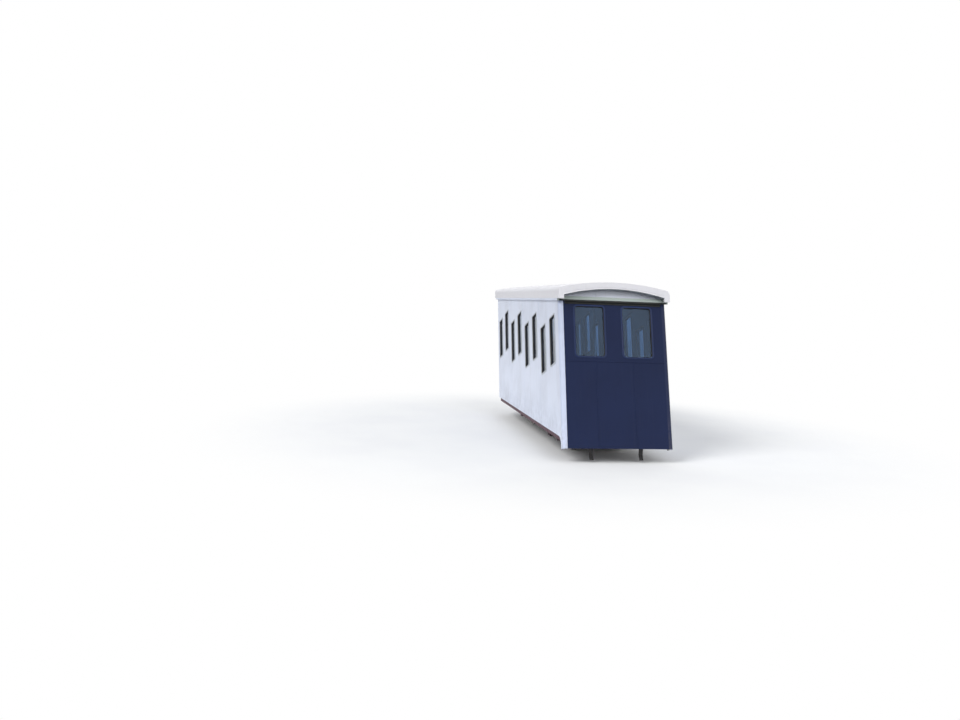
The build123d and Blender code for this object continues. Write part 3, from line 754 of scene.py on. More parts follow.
@dataclass(frozen=True)
class Paint:
    """A finish: one material, made the first time that a piece is dressed in it."""

    name: str
    slot: Slot
    colour: Colour
    rough: float = 0.5

    def material(self) -> bpy.types.Material:
        """Makes the material where it isn't there yet.

        Returns:
            The material.
        """
        made = bpy.data.materials.get(self.name)
        if not made:
            made = bpy.data.materials.new(self.name)
            made.use_nodes = True
            self.dress(Nodes(made.node_tree))
        return made

    def dress(self, nodes: Nodes) -> None:
        """Adds the finish's own nodes to a new material's."""
        raise NotImplementedError

    def tint(self, times: float, plus: float = 0.0) -> Colour:
        """The finish's colour made lighter or darker."""
        return (*(part * times + plus for part in self.colour[:3]), 1.0)


@dataclass(frozen=True)
class BodyPaint(Paint):
    """Glossy coach paint outside, with another colour on the cabin's inner faces."""

    lining: Colour = (0.3, 0.29, 0.24, 1.0)  # inside the cabin
    grime: Colour = (0.2, 0.18, 0.16, 1.0)  # in streaks and along the foot
    streak: float = 0.12  # how much the streaks show
    fade: Point = (0.35, 1.2)  # heights over the track between which the splash thins out
    cabin: Triple = (1.065, 0.03, 6.47)  # half the width, first run and last run of what is inside
    splash: float = 0.3  # how much the splash shows
    coat: float = 0.2  # weight of the varnish over the paint
    gloss: float = 0.5  # strength of the paint's own reflections

    def dress(self, nodes: Nodes) -> None:
        """Paints the outside with streaks, splash and patches, and the lining plain.

        Args:
            nodes: the material's nodes.
        """
        place, (half, start, end), (low, high) = nodes.place, self.cabin, self.fade
        level = place.part(2) - place.part(1) * TRACK_RISE
        within = nodes.effect("Inside", Place=place, Half=half, Run_Start=start, Run_End=end)
        streaks = nodes.effect("Streaks", Place=place, Cover=self.streak)
        splash = nodes.effect("Dust", Height=level, Full_Below=low, Gone_Above=high, Place=place)
        large, small = nodes.patches(0.8)
        dirty = (splash * self.splash).mix(self.clean(nodes, large), self.grime)
        nodes.fill(
            "Principled BSDF", Base_Color=within.mix(streaks.mix(dirty, self.grime), self.lining),
            Roughness=splash * 0.35 + small * 0.16 + self.rough, Specular_IOR_Level=self.gloss,
            Coat_Weight=self.coat, Coat_Roughness=0.12,
        )
        nodes.bump(nodes.effect("Peel", "Height", Place=place), 0.35, 0.0015)

    def clean(self, nodes: Nodes, patch: Field) -> Field:
        """The clean paint's colour, a little darker in patches."""
        return patch.ramp(0.35, 0.75).mix(self.colour, self.tint(0.88))


@dataclass(frozen=True)
class CornerPaint(BodyPaint):
    """Paint of a piece that turns a corner, with another colour on its faces to the ends."""

    end: Colour = (0.01, 0.02, 0.06, 1.0)  # of the faces to the ends
    turn: float = 0.3  # part of the normal along the car from which a face counts as one of them
    beyond: float = 0.0  # x over which they have that colour

    def clean(self, nodes: Nodes, patch: Field) -> Field:
        """Tells the end faces by their normal and their place across the car.

        Args:
            nodes: the material's nodes.
            patch: the large patches.

        Returns:
            The colour.
        """
        turned = nodes.coordinate("Normal").part(1).maths("ABSOLUTE").maths("GREATER_THAN", self.turn)
        ends = turned * nodes.place.part(0).maths("GREATER_THAN", self.beyond)
        return ends.mix(super().clean(nodes, patch), self.end)


@dataclass(frozen=True)
class RoofPaint(Paint):
    """White roof paint, sooty on top, clean at the sides, and of another colour underneath."""

    soot: Colour = (0.3, 0.28, 0.25, 1.0)  # dirt that settles on top
    ceiling: Colour = (0.42, 0.41, 0.38, 1.0)  # of the faces that look down

    def dress(self, nodes: Nodes) -> None:
        """Lays soot on the faces that look up, and leaves the rest near white.

        Args:
            nodes: the material's nodes.
        """
        up = nodes.coordinate("Normal").part(2)
        large, small = nodes.patches(1.2)
        settled = up.ramp(0.5, 1.0) * large.ramp(0.3, 0.8)
        soot = settled * 0.3 + small.ramp(0.58, 0.75) * 0.35 * settled
        streaks = nodes.effect("Streaks", Place=nodes.place, Cover=0.1)
        outside = streaks.mix(soot.mix(self.colour, self.soot), self.soot)
        colour = up.ramp(-0.2, -0.3).mix(outside, self.ceiling)
        nodes.fill("Principled BSDF", Base_Color=colour, Roughness=small * 0.3 + self.rough)
        nodes.bump(nodes.effect("Peel", "Height", Place=nodes.place), 0.4, 0.002)


@dataclass(frozen=True)
class ChassisPaint(Paint):
    """Thick paint on iron: brake dust, oily patches and rust where it has chipped."""

    rust: Colour = (0.16, 0.06, 0.025, 1.0)  # where the paint has gone
    chips: float = 0.5  # how much of it has gone
    dust: Colour = (0.2, 0.17, 0.14, 1.0)  # on what looks up

    def dress(self, nodes: Nodes) -> None:
        """Mixes paint, dust and rusty chips.

        Args:
            nodes: the material's nodes.
        """
        large, small = nodes.patches(2.2)
        gone = small.ramp(0.6, 0.7) * large.ramp(0.45, 0.6) * self.chips
        dusty = nodes.coordinate("Normal").part(2).ramp(-0.1, 0.9) * large.ramp(0.2, 0.7)
        colour = gone.mix((dusty * 0.55).mix(self.colour, self.dust), self.rust)
        nodes.fill("Principled BSDF", Base_Color=colour, Roughness=dusty * 0.25 + gone * 0.4 + self.rough)
        nodes.bump(small * 0.6 - gone, 0.5, 0.0008)


@dataclass(frozen=True)
class Steel(Paint):
    """Bare steel: drawn or turned marks, with rust that creeps in patches."""

    rust: Colour = (0.14, 0.06, 0.03, 1.0)
    rusted: float = 0.4  # how much of the metal has rusted
    grain: Triple = (400.0, 14.0, 14.0)  # scale of the marks along x, run and height

    def dress(self, nodes: Nodes) -> None:
        """Mixes marked metal with rust.

        Args:
            nodes: the material's nodes.
        """
        large, small = nodes.patches(3.0)
        marks = nodes.effect("Scratches", Place=nodes.place.stretched(*self.grain), Cover=0.6)
        rust = large.ramp(0.4, 0.65) * small.ramp(0.35, 0.65) * self.rusted
        nodes.fill(
            "Principled BSDF", Base_Color=rust.mix(marks.mix(self.colour, self.tint(1.35)), self.rust),
            Metallic=rust * -1.0 + 1.0, Roughness=rust * 0.5 + marks * 0.12 + self.rough,
        )
        nodes.bump(marks + rust, 0.3, 0.0004)


@dataclass(frozen=True)
class TreadSteel(Steel):
    """Wheel steel: rusty plates, with the tread worn bright by the rail."""

    middle: Point = (0.0, 0.0)  # the axle's middle, along and over the rails
    tread: float = 0.255  # radius from which the metal is bright
    bright: Colour = (0.55, 0.54, 0.52, 1.0)  # of the worn tread

    def dress(self, nodes: Nodes) -> None:
        """Paints the plates with rust and dust, and bares the metal beyond the tread's radius.

        Args:
            nodes: the material's nodes.
        """
        place = nodes.coordinate("Object")
        along, over = (place.part(axis + 1) - self.middle[axis] for axis in (0, 1))
        large, small = nodes.patches(3.0)
        radius = (along * along + over * over).maths("SQRT")
        worn = (radius + small * 0.006).ramp(self.tread, self.tread + 0.005)
        plate = (large.ramp(0.35, 0.6) * self.rusted).mix(self.colour, self.rust)
        nodes.fill(
            "Principled BSDF", Base_Color=worn.mix(plate, self.bright), Metallic=worn * 0.95,
            Roughness=worn.ramp(0.0, 1.0, 0.7, self.rough) + small * 0.1,
        )
        nodes.bump(small, 0.4, 0.0008)


@dataclass(frozen=True)
class Timber(Paint):
    """Varnished slats: long grain with darker late wood and worn varnish."""

    late: Colour = (0.16, 0.065, 0.022, 1.0)  # of the darker grain

    def dress(self, nodes: Nodes) -> None:
        """Draws grain along x and lets each board differ a little.

        Args:
            nodes: the material's nodes.
        """
        bent = nodes.place.stretched(1.1, 9.0, 9.0).noise(2.0, 4.0, 0.6)
        fine = nodes.place.stretched(6.0, 220.0, 220.0).noise(1.0, 4.0, 0.65)
        grain = (bent * 60.0).maths("SINE").ramp(-1.0, 1.0, 0.0, 0.6) + fine * 0.4
        nodes.fill(
            "Principled BSDF", Base_Color=grain.mix(self.colour, self.late),
            Roughness=nodes.patches(3.0)[0] * 0.4 + self.rough, Coat_Weight=0.4, Coat_Roughness=0.2,
        )
        nodes.bump(fine, 0.25, 0.0006)


@dataclass(frozen=True)
class Rubber(Paint):
    """Weathered rubber, linoleum or moulding: matt, and paler in patches."""

    def dress(self, nodes: Nodes) -> None:
        """Greys the surface in patches.

        Args:
            nodes: the material's nodes.
        """
        large, small = nodes.patches(2.5)
        colour = large.ramp(0.3, 0.8).mix(self.colour, self.tint(1.7, 0.015))
        nodes.fill("Principled BSDF", Base_Color=colour, Roughness=small * 0.2 + self.rough)
        nodes.bump(small, 0.4, 0.0005)


@dataclass(frozen=True)
class Glazing(Paint):
    """Tinted window glass with a thin film of dust in smears, and a painted bluish tint on its reflections."""

    film: float = 0.2  # how much the smears dim it

    def dress(self, nodes: Nodes) -> None:
        """Lets light through, dims it in smears, and gives its reflections a painted bluish tint.

        Args:
            nodes: the material's nodes.
        """
        smear = nodes.patches(1.6)[0].ramp(0.35, 0.8) * self.film
        # Specular Tint turns the white reflections bluish: a painted reflection colour
        nodes.fill(
            "Principled BSDF", Base_Color=smear.mix(self.colour, self.tint(0.8)), IOR=1.45,
            Roughness=smear * 0.04 + self.rough, Transmission_Weight=1.0, Specular_IOR_Level=0.35,
            Specular_Tint=(0.6, 0.76, 1.0, 1.0),
        )


class Palette:
    """The finishes of this car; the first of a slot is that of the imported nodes."""

    side = BodyPaint("white_coach_paint", Slot.SIDE, shade(214, 221, 238), 0.35, (0.22, 0.26, 0.31, 1.0))
    end = BodyPaint(
        "navy_coach_paint", Slot.END, shade(24, 35, 68), 0.38, (0.22, 0.26, 0.31, 1.0),
        (0.06, 0.06, 0.07, 1.0), streak=0.05, coat=0.0, gloss=0.12, splash=0.12,
    )
    post = CornerPaint(
        "white_post_paint", Slot.SIDE, shade(206, 214, 236), 0.42, streak=0.06, coat=0.0, gloss=0.2,
        end=shade(24, 35, 68),
    )
    roof = RoofPaint("white_roof_paint", Slot.ROOF, shade(226, 225, 229), ceiling=(0.3, 0.33, 0.36, 1.0))
    cornice = CornerPaint(
        "cornice_paint", Slot.SIDE, shade(214, 221, 238), 0.45, streak=0.06, end=shade(175, 186, 180), beyond=-2.0
    )
    gable = BodyPaint("grey_gable_paint", Slot.END, shade(236, 239, 248), streak=0.1, coat=0.0, gloss=0.3)
    frames = BodyPaint("grey_frame_paint", Slot.TRIM, shade(176, 182, 190), 0.4, shade(120, 120, 116))
    end_frames = BodyPaint(
        "slate_frame_paint", Slot.TRIM, shade(40, 53, 88), 0.4, shade(70, 80, 100), coat=0.0, gloss=0.15
    )
    glass = Glazing("slate_glass", Slot.GLASS, (0.18, 0.28, 0.42, 1.0), 0.004)
    floor = Rubber("ribbed_floor", Slot.FLOOR, shade(70, 68, 64), 0.6)
    gasket = Rubber("black_gasket", Slot.FLOOR, shade(26, 26, 28), 0.55)
    # near black: painted shadow under the cornice, on the ventilators and the drip channels
    vent = ChassisPaint(
        "black_vent_paint", Slot.END, shade(8, 13, 12), 0.6, chips=0.05, dust=(0.014, 0.016, 0.015, 1.0)
    )
    wood = Timber("varnished_slats", Slot.WOOD, (0.42, 0.2, 0.07, 1.0), 0.3)
    pole = Steel("polished_poles", Slot.POLE, (0.6, 0.6, 0.6, 1.0), 0.22, rusted=0.04)
    desk = ChassisPaint("grey_desk_paint", Slot.DESK, shade(96, 104, 104), 0.4, chips=0.15)
    underframe = ChassisPaint(
        "maroon_underframe", Slot.UNDERFRAME, shade(66, 26, 44), chips=0.3, dust=(0.1, 0.07, 0.08, 1.0)
    )
    gear = ChassisPaint("dark_gear_paint", Slot.GEAR, shade(54, 32, 42), 0.55, dust=(0.08, 0.06, 0.06, 1.0))
    # near black: partly the guards' own paint, partly painted shade under the front of the car
    guards = ChassisPaint(
        "black_guard_paint", Slot.GEAR, shade(20, 19, 22), 0.6, chips=0.3, dust=(0.03, 0.028, 0.028, 1.0)
    )
    axle = Steel("dark_axle_steel", Slot.AXLE, (0.3, 0.28, 0.27, 1.0), 0.4, rusted=0.8)
    bolts = Steel("bolt_steel", Slot.GEAR, (0.3, 0.28, 0.27, 1.0), 0.45, rusted=0.6, grain=(60.0, 60.0, 60.0))
    hinge = Steel("dull_hinge_steel", Slot.HINGE, (0.5, 0.5, 0.5, 1.0), 0.35, rusted=0.15)
    lining = Rubber("grey_lining", Slot.ROOF, shade(140, 146, 150))
    lamp = Rubber("lamp_cover", Slot.ROOF, shade(238, 236, 226), 0.4)
    dial = Rubber("dial_face", Slot.DESK, shade(218, 216, 206), 0.35)
    knob = Rubber("black_knob", Slot.DESK, shade(18, 18, 18), 0.3)

    @classmethod
    def dress_nodes(cls, car: CarFrame) -> None:
        """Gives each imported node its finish.

        Args:
            car: the car's frame.
        """
        paints = [paint for paint in vars(cls).values() if isinstance(paint, Paint)]
        by_slot = {paint.slot: paint for paint in reversed(paints)}
        by_node = {"corner_posts": cls.post, "cornice": cls.cornice, "rail_guards": cls.guards}
        for end, middle in car.axles.items():
            name = f"wheel_steel_{end}"
            by_node[f"wheels_{end}"] = TreadSteel(name, Slot.WHEEL, (0.06, 0.045, 0.045, 1.0), 0.3, middle=middle)
        for record in frame["record"]["subparts"]:
            name = record["node"]
            paint = by_node.get(name) or by_slot[Slot(record["material_slot"])]
            for place in frame["nodes"][name].material_slots:
                place.material = paint.material()
            log.info("%s dressed in %s", name, paint.name)


@dataclass
class Assembly:
    """Part of the car's trim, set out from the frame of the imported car."""

    car: CarFrame

    @property
    def sizes(self) -> CarSizes:
        """The car's sizes."""
        return self.car.sizes

    def build(self) -> None:
        """Builds the assembly's pieces."""
        raise NotImplementedError


@dataclass
class WindowFrames(Assembly):
    """Pressed frames with round corners and rubber gaskets, round every window and door light."""

    lip: float = 0.012
    lap: float = 0.022
    proud: float = 0.01
    corner: float = 0.042
    end_corner: float = 0.07
    gasket: float = 0.009

    def section(self) -> Outline:
        """Section of a frame: distance outwards from the opening's edge, and out of the wall.

        Returns:
            Points of the closed section.
        """
        lip, lap, proud = self.lip, self.lap, self.proud
        inner = [(-lip, -0.02), (-lip, proud - 0.004), (0.004 - lip, proud)]
        outer = [(lap - 0.009, proud), (lap - 0.002, proud * 0.55), (lap, 0.0)]
        return [*inner, *outer, (-0.0012, 0.0), (-0.0012, -0.02)]

    def rubber(self) -> Outline:
        """Section of the gasket between frame and pane.

        Returns:
            Points of the closed section.
        """
        outer, inner = -self.lip, -self.lip - self.gasket
        face = [(outer + 0.001, 0.001), (outer - 0.002, 0.002), (inner + 0.002, -0.006), (inner, -0.012)]
        return [(outer + 0.001, -0.026), *face, (inner, -0.026)]

    def row(self, name: str, finish: Paint, sheets: list[Sheet], loop: Loop, ride: str = "body") -> None:
        """Builds the frames and gaskets of a row of windows.

        Args:
            name: name of the row.
            finish: finish of its frames.
            sheets: plane of each window, about its middle.
            loop: outline of the openings.
            ride: body that carries them; the body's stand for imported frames.
        """
        nodes = (f"window_frames_{name}",) if ride == "body" else ()
        frames = Maker(f"frames_{name}", finish, ride=ride, nodes=nodes)
        gaskets = Maker(f"gaskets_{name}", Palette.gasket, ride=ride)
        for sheet in sheets:
            frames.hoop(sheet, loop, self.section())
            gaskets.hoop(sheet, loop, self.rubber())

    def build(self) -> None:
        """Builds the windows of both sides, the doors and both ends."""
        car, sizes = self.car, self.sizes
        loop = rounded_loop(sizes.window_width, sizes.window_height, self.corner)
        for side in Side:
            places = (0, 1) if side is Side.LEFT else (1,)
            centres = [car.window(index, place) for index in range(sizes.compartments) for place in places]
            self.row(str(side), Palette.frames, [car.side_sheet(side, *centre) for centre in centres], loop)
        for index in range(sizes.compartments):
            sheet, door = car.side_sheet(Side.RIGHT, *car.window(index, 0), self.proud * -0.2), f"door_{index + 1}"
            self.row(door, Palette.frames, [sheet], loop, door)
        loop = rounded_loop(sizes.end_window_width, sizes.end_window_height, self.end_corner)
        for end in car.ends:
            self.row(f"{end.name}_end", Palette.end_frames, car.end_windows(end), loop)


@dataclass
class WallTrim(Assembly):
    """Cover strips over the panel joints, and the bead along the skirt, with their rivets."""

    strip: float = 0.026
    strip_proud: float = 0.0025
    over_skirt: float = 0.02
    over_foot: float = 0.01
    under_cornice: float = 0.002
    lap: float = 0.001
    rivet_pitch: float = 0.11
    bead: float = 0.018
    bead_proud: float = 0.007

    def build(self) -> None:
        """Builds the trim of both sides."""
        half, proud = self.bead / 2, self.bead_proud
        profile = [(-half, 0.0), (-half * 0.8, proud * 0.6), (0.0, proud), (half * 0.8, proud * 0.6), (half, 0.0)]
        for side in Side:
            self.strips(side)
            section = [(across + side.value * half, out) for across, out in profile]
            Maker(f"skirt_bead_{side}", Palette.side).rail(self.car.lower_edge(side), X * side.value, section)

    def strips(self, side: Side) -> None:
        """Builds the upright strips of one side.

        Args:
            side: the side.
        """
        car, sizes, proud = self.car, self.sizes, self.strip_proud
        strips, rivets = Maker(f"cover_strips_{side}", Palette.side), Maker(f"strip_rivets_{side}", Palette.side)
        joints, edge = [car.compartment(index) for index in range(1, sizes.compartments)], sizes.post - self.lap
        for run in (*joints, edge, sizes.body_length - edge):
            low = car.over(car.skirt, run) + self.over_skirt
            if run < sizes.foot_width:
                low = car.skirt - sizes.foot_drop + self.over_foot
            high = car.over(car.eave, run) - sizes.cornice_height - self.under_cornice
            sheet = car.side_sheet(side, run, (low + high) / 2)
            strips.block(sheet.moved(0, 0, proud / 2), (self.strip, high - low, proud), 0.001)
            for level in row(int((high - low) / self.rivet_pitch), self.rivet_pitch):
                rivets.rivet(sheet.moved(0, level, proud))


@dataclass
class EndTrim(Assembly):
    """Ventilators painted near black as a painted shadow under the cornice, mouldings and panels under the roof's rims,
    and strips and rivets on both ends.
    """

    vent_drop: float = 0.049
    vent_height: float = 0.054
    vent_half: float = 0.985
    blade: float = 0.018
    blade_pitch: float = 0.03
    blade_lean: float = 40.0
    panel_half: float = 1.045
    panel_inset: float = 0.06
    panel_proud: float = 0.005
    panel_joint: float = 0.33
    rivet_pitch: float = 0.12
    waist_drop: float = 0.09
    strip_x: float = 0.38
    cornice_reach: float = 0.04
    moulding_half: float = 1.058
    moulding_depth: float = 0.0385
    rim_depth: float = 0.11
    lip_half: float = 1.034
    lip_ends: float = 0.08
    lip_crown: float = 0.226

    def build(self) -> None:
        """Builds the trim of both ends."""
        for end in self.car.ends:
            for make in (self.vent, self.gable, self.rivets, self.moulding, self.lip, self.strips):
                make(end)

    def eave(self, end: End, reach: float = 0.0) -> Sheet:
        """Plane about the eave's middle, at a reach out of an end's wall."""
        run = end.run + end.out * reach
        return self.car.end_sheet(0, run, self.car.over(self.car.eave, run), end.out)

    def foot(self, end: End) -> float:
        """Height of an end wall's lower edge."""
        return self.car.over(self.car.skirt, end.run) - (self.sizes.foot_drop if end.out < 0 else 0.0)

    def strips(self, end: End) -> None:
        """Builds the bead at the waist and the strips over the joints of the lower panels.

        Args:
            end: the end.
        """
        car, sizes, foot = self.car, self.sizes, self.foot(end)
        made = Maker(f"end_strips_{end.name}", Palette.end)
        edge = sizes.half - sizes.post
        waist = car.over(car.eave, end.run) - sizes.end_window_drop - sizes.end_window_height - self.waist_drop
        section = [(-0.012, -0.001), (-0.01, 0.005), (0.0, 0.008), (0.01, 0.005), (0.012, -0.001)]
        made.rail([car.at(x, end.run, waist) for x in (-edge, edge)], car.turn(0, end.out, 0), section)
        for x in (-self.strip_x, self.strip_x):
            sheet = car.end_sheet(x, end.run, (waist + foot) / 2, end.out)
            made.block(sheet.moved(0, 0, 0.001), (0.028, waist - foot - 0.03, 0.004), 0.001)

    def moulding(self, end: End) -> None:
        """Builds the moulding that stands on the cornice, and under it a near-black strip shaped as a drip channel, a
        painted shadow of the moulding.

        Args:
            end: the end.
        """
        made = Maker(f"eave_moulding_{end.name}", Palette.cornice)
        channel = Maker(f"drip_channel_{end.name}", Palette.vent)
        sheet, depth = self.eave(end, self.cornice_reach), self.moulding_depth
        section = [
            (-0.015, -0.001), (-0.015, 0.008), (-0.008, 0.012), (0.004, 0.012), (0.012, 0.007), (0.046, 0.005),
            (0.056, 0.001), (0.058, -0.006), (0.058, -depth), (TRACK_RISE * end.out * -depth - 0.001, -depth),
            (-0.001, -0.002),
        ]
        made.rail([sheet.point(end.out * x, 0) for x in (self.moulding_half, -self.moulding_half)], sheet.n, section)
        # near-black strip over the cornice's lower front: painted shadow under the moulding
        channel.block(sheet.moved(0, -0.0315, 0.001), (2 * self.sizes.half, 0.031, 0.006), 0.0015)

    def lip(self, end: End) -> None:
        """Builds the board that fills the rim's arch down to a flatter curve.

        Args:
            end: the end.
        """
        sheet, half, rings = self.eave(end, self.sizes.roof_overhang), self.lip_half, []
        for x in even(-half, half, 33):
            top = self.car.arch(x, self.rim_depth) + 0.006
            low = self.lip_ends + (self.lip_crown - self.lip_ends) * (1 - (x / half) ** 2)
            outer = [(top, -0.003), (low + 0.016, -0.003), (low + 0.012, 0.001), (low + 0.003, 0.001)]
            rings.append([sheet.point(x, *place) for place in (*outer, (low, -0.003), (low, -0.05), (top, -0.05))])
        Maker(f"rim_lip_{end.name}", Palette.roof).rings(rings)

    def vent(self, end: End) -> None:
        """Builds one ventilator: a near-black tray with slanting blades, a painted shadow under the cornice.

        Args:
            end: the end.
        """
        made = Maker(f"vent_{end.name}", Palette.vent)
        half, height = self.vent_half, self.vent_height
        sheet = self.eave(end).moved(0, -self.vent_drop - height / 2)
        made.block(sheet.moved(0, 0, 0.0005), (2 * half, height, 0.003))
        for side in (-1, 1):
            made.block(sheet.moved(0, side * (height / 2 - 0.004), 0.006), (2 * half, 0.008, 0.012), 0.002)
            made.block(sheet.moved(side * (half - 0.005), 0, 0.006), (0.01, height, 0.012), 0.002)
        lean = math.radians(self.blade_lean)
        u = sheet.u * math.cos(lean) + sheet.n * math.sin(lean)
        n = sheet.n * math.cos(lean) - sheet.u * math.sin(lean)
        for x in row(int((2 * half - 0.03) / self.blade_pitch), self.blade_pitch):
            made.block(Sheet(sheet.point(x, 0, 0.006), u, sheet.v, n), (self.blade, height - 0.014, 0.002))

    def gable(self, end: End) -> None:
        """Builds one gable's panel, its two joint strips and their rivets.

        Args:
            end: the end.
        """
        panel = Maker(f"gable_panel_{end.name}", Palette.gable)
        rivets = Maker(f"gable_rivets_{end.name}", Palette.gable)
        sheet, half, proud = self.eave(end).moved(0, 0, -0.001), self.panel_half, self.panel_proud
        arc = [(x, self.car.arch(x, self.panel_inset)) for x in even(half, -half, 25)]
        panel.plate(sheet, [(-half, 0.006), (half, 0.006), *arc], proud, 0.002)
        for x in (-self.panel_joint, self.panel_joint):
            high = self.car.arch(x, self.panel_inset) - 0.004
            panel.block(sheet.moved(x, (high + 0.01) / 2, proud + 0.001), (0.03, high - 0.01, 0.003), 0.001)
        for x, height in arc[1:-1]:
            rivets.rivet(sheet.moved(x, height - 0.016, proud), 0.005, 0.0035)

    def rivets(self, end: End) -> None:
        """Sets rivets down both edges of an end wall and along its foot.

        Args:
            end: the end.
        """
        made, pitch = Maker(f"end_rivets_{end.name}", Palette.end), self.rivet_pitch
        edge = self.sizes.half - self.sizes.post - 0.018
        low, high = self.foot(end) + 0.03, self.car.over(self.car.eave, end.run) - 0.14
        levels = even(low, high, int((high - low) / pitch) + 1)
        points = [(x, level) for x in (-edge, edge) for level in levels]
        points += [(x, low) for x in even(-edge, edge, int(2 * edge / pitch) + 1)[1:-1]]
        for x, level in points:
            made.rivet(self.car.end_sheet(x, end.run, level, end.out))


@dataclass
class DoorTrim(Assembly):
    """Drip strips, seals, kick plates, inner handles and the screws of the hinges."""

    clear: float = 0.005
    free_clear: float = 0.008
    strap_face: float = 0.027
    strap_levels: Point = (0.35, 1.6)
    strap_screws: Point = (0.022, 0.046)
    strap_bolts: Triple = (0.035, 0.09, 0.145)
    drip_over: float = 0.022
    drip_bend: float = 0.02
    plate_level: float = 0.1
    plate_height: float = 0.14
    handle: float = 0.009
    handle_level: float = 0.95
    handle_length: float = 0.3
    handle_edge: float = 0.07
    seal: float = 0.014

    def build(self) -> None:
        """Builds the trim of all doors."""
        car, half, count = self.car, self.sizes.door_width / 2, self.sizes.compartments
        doors = [(car.floor(index), car.window(index, 0)[0] - half) for index in range(count)]
        for index, (sill, start) in enumerate(doors):
            self.door(f"door_{index + 1}", sill, start)
        drips, screws = Maker("door_drips", Palette.frames), Maker("hinge_screws", Palette.hinge)
        for sill, start in doors:
            self.drip(drips, sill, start)
            for level in self.strap_levels:
                for back in self.strap_screws:
                    place = (start - back, sill + level - 0.011, -self.strap_face)
                    screws.rivet(car.side_sheet(Side.RIGHT, *place), 0.006, 0.0035)

    def drip(self, made: Maker, sill: float, start: float) -> None:
        """Adds the curved strip that leads water off over a door.

        Args:
            made: piece that it goes into.
            sill: height of the door's sill.
            start: run at which the door way begins.
        """
        sizes, points = self.sizes, []
        for share in even(-1.0, 1.0, 13):
            run = start + sizes.door_width / 2 + share * (sizes.door_width / 2 + 0.03)
            level = sill + sizes.door_height + self.drip_over - self.drip_bend * share**4
            points.append(self.car.at(sizes.half, run, level))
        made.rail(points, X, [(-0.004, -0.001), (0.004, -0.001), (0.005, 0.012), (0.001, 0.017), (-0.003, 0.012)])

    def door(self, ride: str, sill: float, start: float) -> None:
        """Builds what one door carries.

        Args:
            ride: the door's body.
            sill: height of its sill.
            start: run at which the door way begins.
        """
        car, sizes, number = self.car, self.sizes, ride[-1]
        plates = Maker(f"kick_plates_{number}", Palette.pole, Slot.HINGE, ride)
        screws = Maker(f"door_screws_{number}", Palette.hinge, ride=ride)
        grips = Maker(f"inner_handle_{number}", Palette.pole, Slot.HINGE, ride)
        seals = Maker(f"door_seals_{number}", Palette.gasket, ride=ride)
        first, last = start + self.clear, start + sizes.door_width - self.free_clear
        middle, across, inner = (first + last) / 2, sizes.half - 0.03, sizes.half - sizes.door_leaf
        plate = car.side_sheet(Side.RIGHT, middle, sill + self.plate_level, sizes.door_leaf)
        width, height = last - first - 0.06, self.plate_height
        plates.block(plate.moved(0, 0, 0.0008), (width, height, 0.0024), 0.0008)
        for u in even(-0.5, 0.5, 5):
            for v in (-0.5, 0.5):
                screws.rivet(plate.moved(u * (width - 0.03), v * (height - 0.03), 0.002), 0.004, 0.002)
        for level in self.strap_levels:
            for along in self.strap_bolts:
                place = (start + along, sill + level + 0.015, -self.strap_face)
                screws.bolt(car.side_sheet(Side.RIGHT, *place), 0.006)
        low = [(0.0, 0.0), (0.018, 0.0), (0.032, 0.012), (0.034, 0.03)]
        high = [(out, self.handle_length - up) for out, up in reversed(low)]
        run, level = last - self.handle_edge, sill + self.handle_level
        grips.rod([car.at(inner + 0.002 - out, run, level + up) for out, up in low + high], self.handle, 12)
        for up in (0.0, self.handle_length):
            foot = car.side_sheet(Side.RIGHT, run, level + up, sizes.door_leaf)
            grips.turned(foot, [(0.02, -0.001), (0.02, 0.003), (0.012, 0.007)], 20)
        edge = car.end_sheet(across, last + 0.001, sill + sizes.door_height / 2, 1)
        seals.block(edge, (self.seal, sizes.door_height - 0.03, 0.004), 0.001)
        top = car.level_sheet(across, middle, sill + sizes.door_height - self.clear + 0.0005)
        seals.block(top, (self.seal, last - first - 0.02, 0.003), 0.001)


@dataclass
class InnerTrim(Assembly):
    """Timber trims round the windows inside."""

    lap: float = 0.026
    proud: float = 0.012

    def build(self) -> None:
        """Builds the trims of both sides, the doors and the ends."""
        car, sizes, lap, proud = self.car, self.sizes, self.lap, self.proud
        section = [(0.0, -0.001), (0.0, proud), (lap * 0.6, proud), (lap, proud * 0.4), (lap, -0.001)]
        loop = rounded_loop(sizes.window_width, sizes.window_height, 0.03, 4)
        windows = [(car.window(index, 0), car.window(index, 1)) for index in range(sizes.compartments)]
        for number, (first, _) in enumerate(windows, 1):
            leaf = Maker(f"door_trim_{number}", Palette.wood, ride=f"door_{number}")
            leaf.hoop(car.side_sheet(Side.RIGHT, *first, sizes.door_leaf), loop, section)
        made = Maker("inner_trims", Palette.wood)
        for first, second in windows:
            for side, centre in ((Side.LEFT, first), (Side.LEFT, second), (Side.RIGHT, second)):
                made.hoop(car.side_sheet(side, *centre, sizes.wall), loop, section)
        loop = rounded_loop(sizes.end_window_width, sizes.end_window_height, 0.05, 5)
        for end in car.ends:
            for sheet in car.end_windows(end, sizes.wall):
                made.hoop(sheet, loop, section)


